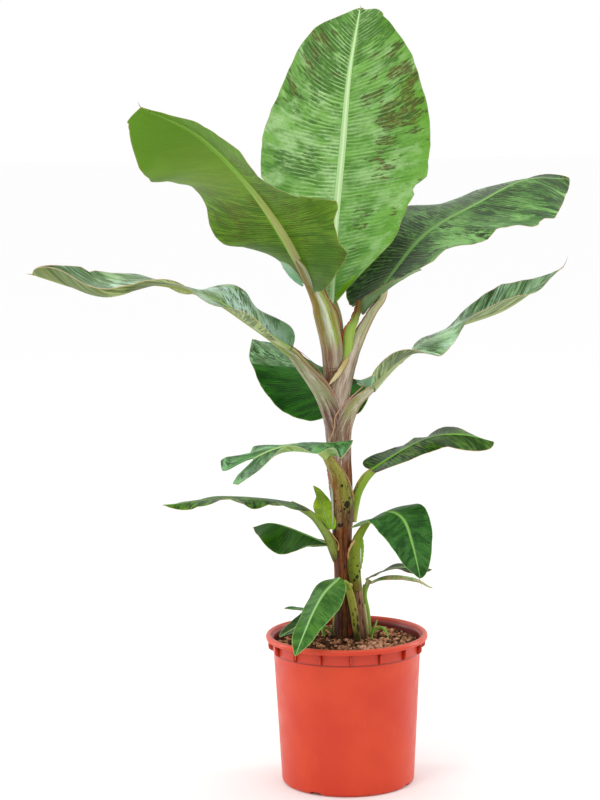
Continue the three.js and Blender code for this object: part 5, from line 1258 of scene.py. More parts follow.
# ------------------------------------------------------------------ potting mix
def soil_z(x, y):
    r2 = (x * x + y * y) / 0.07**2
    return (SOIL_TOP + SOIL_MOUND * np.exp(-r2) + SOIL_ROUGH * np.sin(x * 61 + 1.3) * np.cos(y * 53 - 0.4)
            + SOIL_ROUGH * 0.6 * np.sin((x - y) * 110))


def soil_piece():
    pile = Pile()
    rng = np.random.default_rng(11)
    big, mid, small = Wobble(21), Wobble(22), Wobble(23)
    R = POT_BAND_R - POT_WALL - 0.0005
    nr, na = 110, 300
    r = R * np.sqrt(np.linspace(0.0, 1, nr))[1:]
    th = 2 * np.pi * np.arange(na) / na
    RR, TH = np.meshgrid(r, th, indexing="ij")
    X, Y = RR * np.cos(TH), RR * np.sin(TH)
    Z = soil_z(X, Y) + 0.0016 * mid(X / 0.009 + 40, Y / 0.009 + 40) + 0.0009 * small(X / 0.0035 + 90, Y / 0.0035 + 90) - 0.001
    co = np.stack([X, Y, Z], -1).reshape(-1, 3)
    q = ring_faces(nr - 1, na)
    wall = [(R, SOIL_TOP - 0.02), (R * 0.98, 0.18), (POT_BASE_R - 0.006, 0.02), (0.10, 0.0045)]
    ringpts = [co]
    for rr, zz in wall:
        ringpts.append(np.stack([rr * np.cos(th), rr * np.sin(th), np.full(na, zz)], -1))
    pts = np.concatenate(ringpts)
    rows = nr - 1 + len(wall)
    q = ring_faces(rows, na)[:, ::-1]
    c0, c1 = len(pts), len(pts) + 1
    pts = np.vstack([pts, [0, 0, float(soil_z(0.0, 0.0))], [0, 0, 0.0045]])
    j = np.arange(na)
    last = (rows - 1) * na
    tris = np.concatenate([
        np.stack([np.full(na, c0), j, (j + 1) % na], -1),
        np.stack([np.full(na, c1), last + (j + 1) % na, last + j], -1),
    ])
    tint = 0.25 + 0.12 * big(pts[:, 0] / 0.02 + 9, pts[:, 1] / 0.02 + 9)
    pile.add(pts, q, tris, tint=tint)
    # crumbs of peat, bark and clay
    g = (1 + 5**0.5) / 2
    ico = unit(np.array([(-1, g, 0), (1, g, 0), (-1, -g, 0), (1, -g, 0), (0, -1, g), (0, 1, g), (0, -1, -g), (0, 1, -g),
                         (g, 0, -1), (g, 0, 1), (-g, 0, -1), (-g, 0, 1)], float))
    icof = np.array([(0, 11, 5), (0, 5, 1), (0, 1, 7), (0, 7, 10), (0, 10, 11), (1, 5, 9), (5, 11, 4), (11, 10, 2), (10, 7, 6),
                     (7, 1, 8), (3, 9, 4), (3, 4, 2), (3, 2, 6), (3, 6, 8), (3, 8, 9), (4, 9, 5), (2, 4, 11), (6, 2, 10), (8, 6, 7), (9, 8, 1)])
    for k in range(2600):
        rr = (R - 0.004) * math.sqrt(rng.uniform(0.0, 1))
        a = rng.uniform(0, 2 * math.pi)
        x, y = rr * math.cos(a), rr * math.sin(a)
        size = 0.0016 + 0.0060 * rng.uniform() ** 2.2
        pink = math.exp(-(((x - 0.060) / 0.06) ** 2) - (((y + 0.07) / 0.07) ** 2))
        tint = rng.uniform(0.05, 0.62) + (0.32 * pink if rng.uniform() < 0.75 else 0) + (0.25 if rng.uniform() < 0.08 else 0)
        shape = ico * (1 + 0.28 * rng.uniform(-1, 1, (12, 1))) * np.array([1, rng.uniform(0.6, 1), rng.uniform(0.45, 0.9)]) * size
        b = rng.uniform(0, 2 * math.pi)
        cb, sb = math.cos(b), math.sin(b)
        shape = shape @ np.array([[cb, sb, 0], [-sb, cb, 0], [0, 0, 1]])
        tilt = rng.uniform(-0.6, 0.6)
        ct, st = math.cos(tilt), math.sin(tilt)
        shape = shape @ np.array([[1, 0, 0], [0, ct, st], [0, -st, ct]])
        rad = math.hypot(x, y)
        if rad + size > R - 0.0008:
            continue
        pile.add(shape + (x, y, float(soil_z(x, y)) + 0.25 * size), None, icof, tint=min(0.99, tint))
    o = pile.make("potting_mix_crumbs")
    return o


# ------------------------------------------------------------------ looks of the single leaves
# Strength of red, green and blue for each skin, worked out so that the lit part has the colour it should.
GAIN = {
    "bract_1": (1.556, 1.285, 0.899),
    "leaf_1": (0.764, 0.787, 0.704),
    "leaf_10": (0.418, 0.659, 0.150),
    "leaf_12": (0.493, 0.594, 0.334),
    "leaf_13a": (0.280, 0.262, 0.150),
    "leaf_13b": (2.991, 1.860, 2.174),
    "leaf_14": (0.488, 0.566, 0.256),
    "leaf_15a": (0.633, 0.477, 0.463),
    "leaf_2_under": (0.837, 0.941, 0.293),
    "leaf_3": (0.624, 0.798, 0.362),
    "leaf_4": (1.873, 1.814, 2.044),
    "leaf_4_under": (0.913, 0.879, 0.639),
    "leaf_5": (1.546, 1.442, 1.702),
    "leaf_5_under": (1.025, 1.031, 0.795),
    "leaf_6": (0.437, 0.824, 0.236),
    "leaf_7": (0.696, 0.906, 0.595),
    "leaf_7_under": (1.207, 1.217, 1.187),
    "leaf_8": (0.545, 0.789, 0.150),
    "leaf_9": (0.742, 0.963, 0.205),
    "petiole_12": (0.633, 0.618, 0.150),
    "petiole_14": (0.521, 0.646, 0.150),
    "petiole_2": (0.920, 0.880, 0.800),
    "petiole_3": (1.057, 0.970, 0.847),
    "petiole_4": (1.107, 1.089, 0.998),
    "petiole_5": (0.996, 0.907, 0.833),
    "petiole_7": (0.873, 0.688, 0.372),
    "petiole_8": (0.890, 1.004, 0.477),
    "petiole_9": (0.671, 0.689, 0.528),
    "stem_front": (0.896, 0.757, 0.358),
    "stem_main": (1.050, 0.629, 0.195),
    "stem_right": (1.025, 0.807, 0.563),
}

G_LEAF = {
    # rows, columns per half, midrib half width (mm), midrib taper, look
    "leaf_1": (520, 19, 7.8, 2.2, dict(
        dark="#528a2c", light="#7db454", blotch="#34551c", much=(0.0, -0.05), blotch_mix=0.92, brown="#6b4f1c", brown_much=(-0.2, 0.0),
        brown_mix=0.92, bloom="#b8dca0", bloom_mix=(0.70, 0.50), veins=(1.0, 0.60), vein_to="#bcdca0", groove="#3f6a2a", groove_mix=0.60,
        clumps=((0.86, -0.040, 0.15, 0.085, 1.15), (0.70, -0.085, 0.12, 0.070, 0.70), (0.48, -0.085, 0.06, 0.095, 1.1), (0.93, 0.035, 0.08, 0.06, 1.2),
                (0.76, 0.045, 0.12, 0.07, 0.55), (0.30, -0.10, 0.08, 0.06, 0.4), (0.56, 0.04, 0.05, 0.06, 0.4)),
        brown_clumps=((0.745, 0.085, 0.11, 0.085, 0.90), (0.625, 0.115, 0.065, 0.065, 0.95), (0.52, 0.07, 0.05, 0.08, 0.70), (0.43, 0.12, 0.05, 0.07, 0.60),
                      (0.84, -0.060, 0.13, 0.09, 0.85), (0.70, -0.12, 0.08, 0.06, 0.45), (0.52, -0.13, 0.06, 0.06, 0.40), (0.27, 0.06, 0.05, 0.05, 0.5),
                      (0.86, 0.05, 0.07, 0.05, 0.6)),
        slant=0.24, patch=(50, 21), lines=(0.30, 0.90), rim="#69a42c", rim_mix=(0.05, 0.75), rib="#a4c884", rib_mid="#c6dab2", rib_edge="#4c7a2c", margin="#7f9440",
        pitch=0.0075, under_dark="#56822c", under_light="#70a03a", gloss=0.42)),
    "leaf_2": (460, 19, 8.6, 1.3, dict(
        dark="#4c7e40", light="#80b06e", blotch="#34562a", much=(0.40, 0.40), bloom="#a8cca8", bloom_mix=(0.28, 0.28), veins=(0.5, 0.5), vein_to="#a8c894",
        under_dark="#41661a", under_light="#7d9f48", under_blotch=0.55, under_bloom=0.10, under_veins=0.85, under_fleck=0.55, under_foot="#3c6016", right_tint="#869d6c",
        blotch_lo="#5c4f26", clumps=((0.86, -0.05, 0.16, 0.09, 0.8), (0.55, -0.05, 0.10, 0.05, 0.4), (0.92, 0.045, 0.09, 0.05, 1.1), (0.82, 0.09, 0.08, 0.05, 0.9), (0.72, 0.05, 0.08, 0.04, 0.6)),
        # the underside ovals are painted shade (dark greens) and painted light (pale green)
        under_tip="#628f28", under_light_and_shade=((0.88, 0.024, 0.17, 0.042, "#35600c", 0.9), (0.81, 0.106, 0.12, 0.036, "#a4cc68", 0.9),
                     (0.20, -0.076, 0.07, 0.040, "#35600c", 0.7), (0.41, -0.075, 0.20, 0.085, "#3c6016", 0.35)), rib_under="#a3a85c", rib_under_mid="#c6cc90", rib_foot="#a8987c", rib_far="#86b048", flank="#76ac2e", rib_edge="#3f6a1c", margin="#96894a",
        groove="#3c5c18", keel=1.15, pitch=0.0052)),
    "leaf_3": (460, 19, 5.0, 1.4, dict(shine=0.12,
        dark="#2a4c22", light="#628f58", blotch="#0f2406", much=(0.62, 0.55), blotch_mix=0.95, brown="#2c3612", brown_much=(0.25, 0.25),
        clumps=((0.92, -0.02, 0.12, 0.08, 1.1), (0.84, 0.05, 0.14, 0.05, 0.8), (0.62, -0.04, 0.12, 0.05, 0.5), (0.15, -0.05, 0.16, 0.08, 0.8), (0.5, 0.03, 0.1, 0.03, 0.4)),
        patch=(66, 26), bloom="#a6d0a4", bloom_mix=(0.40, 0.80), veins=(0.85, 0.70), vein_to="#a3b492", groove="#1f3c17", groove_mix=0.5, rim="#6f9a68",
        rim_mix=(0.0, 0.35), rib="#76a256", rib_mid="#86b064", rib_edge="#2a4820", margin="#bb9c78", pitch=0.0072, under_dark="#6f8454",
        under_light="#9aa67e", gloss=0.38)),
    "leaf_4": (400, 17, 4.8, 1.5, dict(
        slant=0.8, dark="#4a6a3e", light="#8cae7e", blotch="#142c0c", much=(0.72, 0.72), blotch_mix=0.95, brown="#37381c", brown_much=(0.2, 0.2),
        bloom="#a8c6a8", bloom_mix=(0.60, 0.60), veins=(0.45, 0.45), vein_to="#b4c8a4", groove="#3f5a34", rib="#9cc070", rib_mid="#aecb80",
        margin="#c4a684", under_dark="#465e30", under_light="#a8bc94", under_blotch=0.45, under_veins=0.6, under_line="#b4c49c", rib_under="#93a070", pitch=0.0062)),
    "leaf_5": (400, 17, 5.4, 1.5, dict(
        slant=0.8, foot="#3f6a44", clumps=((0.86, 0.0, 0.16, 0.12, 1.4), (0.62, 0.0, 0.08, 0.1, 0.6)), dark="#557640", light="#90b27c", blotch="#1c340e", much=(0.52, 0.52), blotch_mix=0.95, brown="#423e1c", brown_much=(0.25, 0.25),
        bloom="#b2d0c0", bloom_mix=(0.75, 0.75), veins=(0.45, 0.45), vein_to="#c2d4b8", groove="#44602f", rib="#a0bc70", rib_mid="#b0c880",
        margin="#cdb092", under_dark="#384a16", under_light="#a8b880", under_blotch=0.5, under_veins=0.7, under_line="#b9be98", rib_under="#8f9c4e", pitch=0.0062)),
    # leaf_6: its deep greens are painted shade under the crown; far is painted light on the far part, where the blade
    # bends over towards the light
    "leaf_6": (340, 15, 5.0, 1.5, dict(shine=0.02, 
        dark="#123c08", light="#3c6c1e", blotch="#0a2604", much=(0.30, 0.30), blotch_mix=0.9, brown="#4c4f2c", brown_much=(0.22, 0.22),
        far=(0.545, 0.57, "#8cba86", "#56744c", "#2c3a1e"), bloom="#4f8442", bloom_mix=(0.08, 0.12), veins=(0.85, 0.85), vein_to="#6f9c54",
        groove="#0c2804", groove_mix=0.8, rib="#6c944a",
        rib_edge="#24481a", margin="#8f9a60", under_dark="#4d6a30", under_light="#6b8748", pitch=0.0070)),
    "leaf_7": (270, 14, 4.6, 1.5, dict(
        dark="#346030", light="#74a868", blotch="#12300e", much=(0.70, 0.70), blotch_mix=0.95, bloom="#a6cbb0", bloom_mix=(0.60, 0.60),
        veins=(0.35, 0.35), vein_to="#a8c89c", groove="#335a28", rib="#9cc070", margin="#b8b48a", under_dark="#6a8644", under_light="#98b26e",
        rib_under="#a6bc6a", grain=1.3, pitch=0.0055)),
    "leaf_8": (270, 14, 3.8, 1.5, dict(shine=0.12, 
        dark="#1c3e0c", light="#4f783c", blotch="#081e04", much=(0.70, 0.70), blotch_mix=0.95, brown="#4a3f20", brown_much=(0.30, 0.30),
        bloom="#9aa98c", bloom_mix=(0.45, 0.45), veins=(0.55, 0.55), vein_to="#93a684", groove="#1a3610", rib="#78ae42", rib_mid="#88bc50",
        rib_edge="#2c5a1c", margin="#b49a6c", under_dark="#5d7634", under_light="#7f9650", grain=1.5, pitch=0.0062, gloss=0.36)),
    "leaf_9": (270, 13, 4.0, 1.5, dict(shine=0.12, 
        dark="#1b3e10", light="#567a46", blotch="#082004", much=(0.70, 0.70), blotch_mix=0.95, bloom="#86a686", bloom_mix=(0.50, 0.50),
        veins=(0.40, 0.40), vein_to="#7f9c70", groove="#1a3610", rib="#7fa050", margin="#9c965c", under_dark="#4b6a28", under_light="#6a8646",
        grain=1.4)),
    "leaf_10": (260, 13, 2.8, 1.5, dict(shine=0.12, 
        dark="#244c06", light="#467420", blotch="#1c3a0e", much=(0.4, 0.4), blotch_mix=0.7, bloom="#6c8c50", bloom_mix=(0.2, 0.2),
        veins=(0.45, 0.45), vein_to="#588040", groove="#1a3c0e", groove_mix=0.6, rib="#5f9038", margin="#8a9450", under_dark="#4a6826",
        under_light="#66843c", grain=1.3)),
    "leaf_12": (250, 14, 2.8, 1.6, dict(shine=0.12, 
        dark="#265824", light="#4a8440", blotch="#173f16", much=(0.50, 0.50), blotch_mix=0.8, bloom="#74a470", bloom_mix=(0.30, 0.30),
        veins=(0.30, 0.30), vein_to="#5a9250", groove="#225020", rib="#6f9f48", rib_mid="#84b45c", rib_edge="#2f6428", margin="#7aa050",
        under_dark="#5f7c44", under_light="#86a070", pitch=0.0040, grain=1.7, gloss=0.36)),
    "leaf_14": (250, 14, 2.3, 1.6, dict(
        dark="#386f30", light="#68a258", blotch="#28591f", much=(0.45, 0.45), blotch_mix=0.8, bloom="#9cc490", bloom_mix=(0.30, 0.30),
        veins=(0.30, 0.30), vein_to="#86b870", groove="#34682c", rib="#86b868", rib_mid="#9cc87c", rib_edge="#3c7030", margin="#86b060",
        under_dark="#5f8238", under_light="#7fa050", pitch=0.0036, grain=1.7, gloss=0.36)),
    "leaf_13a": (120, 9, 1.4, 1.6, dict(dark="#33531c", light="#5c8444", blotch="#33251a", much=(0.35, 0.35), veins=(0.3, 0.3), margin="#a8905c",
        bloom="#8ca48c", bloom_mix=(0.3, 0.3), pitch=0.003, grain=2.0)),
    "leaf_13b": (120, 9, 1.4, 1.6, dict(dark="#2f5c24", light="#4f8240", much=(0.1, 0.1), veins=(0.3, 0.3), margin="#b49a6c", bloom="#b4a890",
        bloom_mix=(0.35, 0.35), pitch=0.003, grain=2.0)),
    "leaf_15a": (120, 9, 1.6, 1.6, dict(dark="#2c5c2c", light="#4c8048", much=(0.1, 0.1), veins=(0.3, 0.3), margin="#6a9a5c", bloom_mix=(0.1, 0.1),
        pitch=0.003, grain=2.0)),
    "leaf_15b": (110, 9, 1.0, 1.6, dict(dark="#2c5c2c", light="#4c8048", much=(0.1, 0.1), veins=(0.3, 0.3), margin="#6a9a5c", bloom_mix=(0.1, 0.1),
        pitch=0.003, grain=2.0)),
    "bract_1": (110, 9, 1.6, 1.6, dict(dark="#648c1b", light="#84b030", blotch="#506e12", much=(0.2, 0.2), veins=(0.25, 0.25), vein_to="#a0c058",
        groove="#5a7f18", rib="#7ab02c", rib_edge="#5a8a18", margin="#7a9a3c", bloom_mix=(0.1, 0.1), under_dark="#6f962a", under_light="#8cae48",
        tip="#84b82c", foot="#6fa820", pitch=0.003, grain=2.0)),
}
SPROUT = (60, 7, 0.5, 1.6, dict(dark="#4f8a1c", light="#7fc234", much=(0.0, 0.0), veins=(0.2, 0.2), margin="#8fc048", bloom_mix=(0.0, 0.0),
                                under_dark="#5c9a24", under_light="#86c83c", rib="#a8d85c", rib_mid="#b8e070", pitch=0.002, grain=2.0))
# bites and tears in the margins: side, place along the blade, half length, depth
NICKS = {
    "leaf_1": ((1, 0.993, 0.007, 0.8),),
    "leaf_5": ((1, 0.80, 0.03, 0.15), (0, 0.66, 0.04, 0.12)),
    "leaf_9": ((0, 0.78, 0.04, 0.2), (1, 0.70, 0.05, 0.12)),
}
# waves of the margins: along the blade, share of the plain half width; left half, then right half
TRIM = {
    "leaf_1": (((0.38, 1), (0.40, 0.93), (0.424, 1.007), (0.50, 0.993), (0.566, 0.992), (0.637, 1.008), (0.661, 1.014), (0.70, 0.99), (0.74, 1.006),
                (0.79, 0.985), (0.851, 1.013), (0.899, 1.08), (0.925, 1.04), (0.946, 0.92), (0.972, 0.78), (1, 0.7)),
               ((0.12, 0.96), (0.155, 0.997), (0.20, 1.008), (0.26, 1.003), (0.30, 0.985), (0.345, 0.988), (0.366, 0.935), (0.385, 0.945), (0.398, 0.985),
                (0.420, 1.03), (0.45, 1.022), (0.474, 1.002), (0.51, 0.99), (0.62, 0.99), (0.69, 0.997), (0.757, 0.986), (0.83, 1.01), (0.90, 0.988), (0.955, 1.03), (0.985, 1.45), (1, 1.5))),
    "leaf_2": (((0, 0.10), (0.045, 0.12), (0.075, 0.45), (0.095, 0.78), (0.113, 0.90), (0.127, 0.91), (0.165, 0.957), (0.203, 1.06), (0.242, 1.14), (0.28, 1.01), (0.318, 0.975),
                (0.357, 0.957), (0.395, 1.057), (0.433, 1.12), (0.472, 0.84), (0.51, 0.87), (0.548, 1.12), (0.587, 1.03), (0.625, 0.975), (0.663, 0.875),
                (0.702, 0.957), (0.74, 1.04), (0.778, 1.09), (0.817, 0.86), (0.855, 0.83), (0.893, 1.03), (0.932, 1.02), (0.96, 0.82), (0.985, 0.8), (1, 1.0)),
               ((0.05, 1.04), (0.088, 1.14), (0.127, 1.14), (0.165, 1.06), (0.203, 1.03), (0.242, 0.82), (0.28, 0.955), (0.318, 1.02), (0.355, 1.05), (0.395, 1.035),
                (0.433, 1.045), (0.472, 1.055), (0.51, 1.006), (0.548, 1.02), (0.587, 0.99), (0.625, 0.953), (0.663, 0.975), (0.702, 1.01), (0.74, 0.98),
                (0.778, 0.975), (0.855, 1.02), (0.893, 1.01), (0.925, 1.01), (0.945, 1.03), (0.963, 1.08), (0.98, 1.3), (0.99, 1.9), (1, 2.4))),
    "leaf_3": (((0, 1.1), (0.012, 1.16), (0.022, 1.0), (0.04, 1.0), (0.06, 1.05), (0.09, 1.06), (0.13, 1.02), (0.2, 1.0)), ((0.02, 0.9), (0.05, 0.82), (0.116, 1.09), (0.181, 0.86), (0.247, 1.01), (0.313, 0.98), (0.379, 0.96), (0.444, 0.975), (0.51, 1.055),
                    (0.576, 0.957), (0.641, 1.04), (0.707, 1.03), (0.773, 1.01), (0.839, 0.99), (0.904, 0.925), (0.97, 0.83))),
    "leaf_6": (((0.22, 1.03), (0.343, 1.0), (0.525, 0.97), (0.70, 1.0), (0.768, 1.04), (0.829, 1.08), (0.889, 1.15)), ((0.27, 1.0), (0.315, 0.70), (0.36, 0.54), (0.6, 0.5), (1, 0.5))),
    "leaf_8": (((0.16, 1), (0.221, 0.94), (0.282, 0.83), (0.343, 1.15), (0.404, 1.0), (0.464, 1.10), (0.525, 0.94), (0.586, 1.15), (0.646, 1.12),
                (0.768, 1.09), (0.829, 1)),
               ((0.10, 0.92), (0.221, 1.02), (0.404, 1.01), (0.464, 1.075), (0.525, 1.09), (0.586, 0.99), (0.707, 0.975), (0.829, 1.02), (0.95, 1.1))),
    "leaf_10": (((0.10, 1.05), (0.161, 0.85), (0.221, 1.0), (0.404, 0.95), (0.525, 0.95), (0.646, 0.975), (0.829, 0.955), (0.95, 1.1)), ()),
    "leaf_12": (((0.15, 1), (0.204, 0.90), (0.266, 0.96), (0.329, 1.08), (0.391, 1), (0.453, 0.955), (0.515, 0.97), (0.577, 1.01), (0.639, 1.025),
                 (0.764, 0.99), (0.95, 0.94)),
                ((0.08, 1.15), (0.266, 1.15), (0.329, 1.06), (0.391, 0.99), (0.639, 0.99), (0.701, 1.01), (0.826, 1.06), (0.888, 1.10), (0.95, 1.05))),
    "leaf_14": (((0.08, 1), (0.204, 1.03), (0.266, 1.06), (0.329, 1.10), (0.391, 1.08), (0.453, 1.075), (0.515, 1.045), (0.577, 1.025), (0.70, 0.99),
                 (0.826, 0.97), (0.95, 0.90)),
                ((0.08, 1.15), (0.142, 1.15), (0.266, 1.09), (0.329, 1.08), (0.391, 1.04), (0.639, 1.03), (0.826, 1.04), (0.95, 0.80))),
}
# height of the margins' waves above the plain blade, in mm
LIFT = {
    "leaf_3": (((0.42, 0), (0.46, 2), (0.52, 5), (0.565, 9), (0.60, 9), (0.66, 3), (0.72, 1), (0.80, 5), (0.87, 10), (0.93, 10), (1, 3)),
               ((0.28, 0), (0.33, -4), (0.38, 4), (0.42, 0), (0.55, 0), (0.60, 5), (0.66, -4), (0.84, 0), (0.89, 6), (0.93, -5), (1, 0))),
    "leaf_8": (((0.2, 0), (0.28, 3), (0.36, -2), (0.46, 4), (0.56, -2), (0.68, 3), (1, 0)), ((0.2, 0), (0.5, 3), (0.7, -3), (1, 0))),
    "leaf_6": (((0.2, 0), (0.3, 3), (0.4, -3), (0.5, 3), (0.62, -3), (0.74, 3), (0.86, -2), (1, 0)), ()),
    "leaf_4": (((0.3, 0), (0.38, 4), (0.46, -3), (0.56, 4), (0.66, -3), (0.76, 4), (0.88, 0), (1, 0)),
               ((0.3, 0), (0.36, -3), (0.45, 3), (0.55, -3), (0.65, 3), (0.78, -3), (0.9, 0), (1, 0))),
}
BLADES["leaf_2"]["ease"] = (0.0066, 0.30)
FLARE = {"leaf_2": 0.060}
# torn ends: distance out from the midrib in m, where the blade stops there
ENDS = {"leaf_7": (((0, 0.868), (0.004, 0.885), (0.012, 0.955), (0.022, 0.985), (0.042, 0.985), (0.056, 0.95)),
                   ((0, 0.868), (0.005, 0.872), (0.020, 1.0), (0.030, 0.990), (0.052, 0.875), (0.060, 0.86)))}
TRIM["leaf_4"] = (((0.45, 1), (0.52, 1.07), (0.60, 1.14), (0.66, 1.05), (0.72, 1)), ((0.25, 1), (0.31, 0.95), (0.35, 0.88), (0.39, 0.95), (0.45, 1)))
TRIM["leaf_7"] = (((0.84, 1), (0.92, 1.18), (1, 1.6)), ((0.82, 1), (0.875, 1.12), (1, 1.3)))

for num, (name, b) in enumerate(BLADES.items()):
    ns, nq, rr, re, look = G_LEAF.get(name, SPROUT)
    look = dict(look)
    b["rib_r"], b["rib_e"] = rr / 1000, re
    b["keel"] = look.pop("keel", 1.05)
    if name.startswith("sprout"):
        b["width"] = [w * 1.45 for w in b["width"]]
    slant = look.pop("slant", 0.36)
    b["nicks"] = NICKS.get(name, ())
    b["trim"] = TRIM.get(name)
    b["lift"] = LIFT.get(name)
    b["ends"] = ENDS.get(name)
    b["flare"] = FLARE.get(name, 0.035)
    stalk = "petiole_" + name[5:]
    if stalk in LIMBS:
        b["foot_r"] = limb_rows(stalk)[0, 3]
    if name in GAIN:
        look["gain"] = GAIN[name]
    if name + "_under" in GAIN:
        look["under_gain"] = GAIN[name + "_under"]
    small = b["width"][0] < 15
    kw = dict(wavy=0.0004, ragged=0.0) if name.startswith("sprout") else (dict(wavy=0.0010, ragged=0.006) if small else {})
    piece = blade_piece(name + "_blade", b, 3 + num, ns, nq, pitch=look.get("pitch", 0.0058),
                        relief=0.00004 if small else 0.00022, thick=0.00035 if small else 0.00045, slant=slant, **kw)
    dress(piece, leaf_material(name + "_skin", 3 + num, **look), [name])

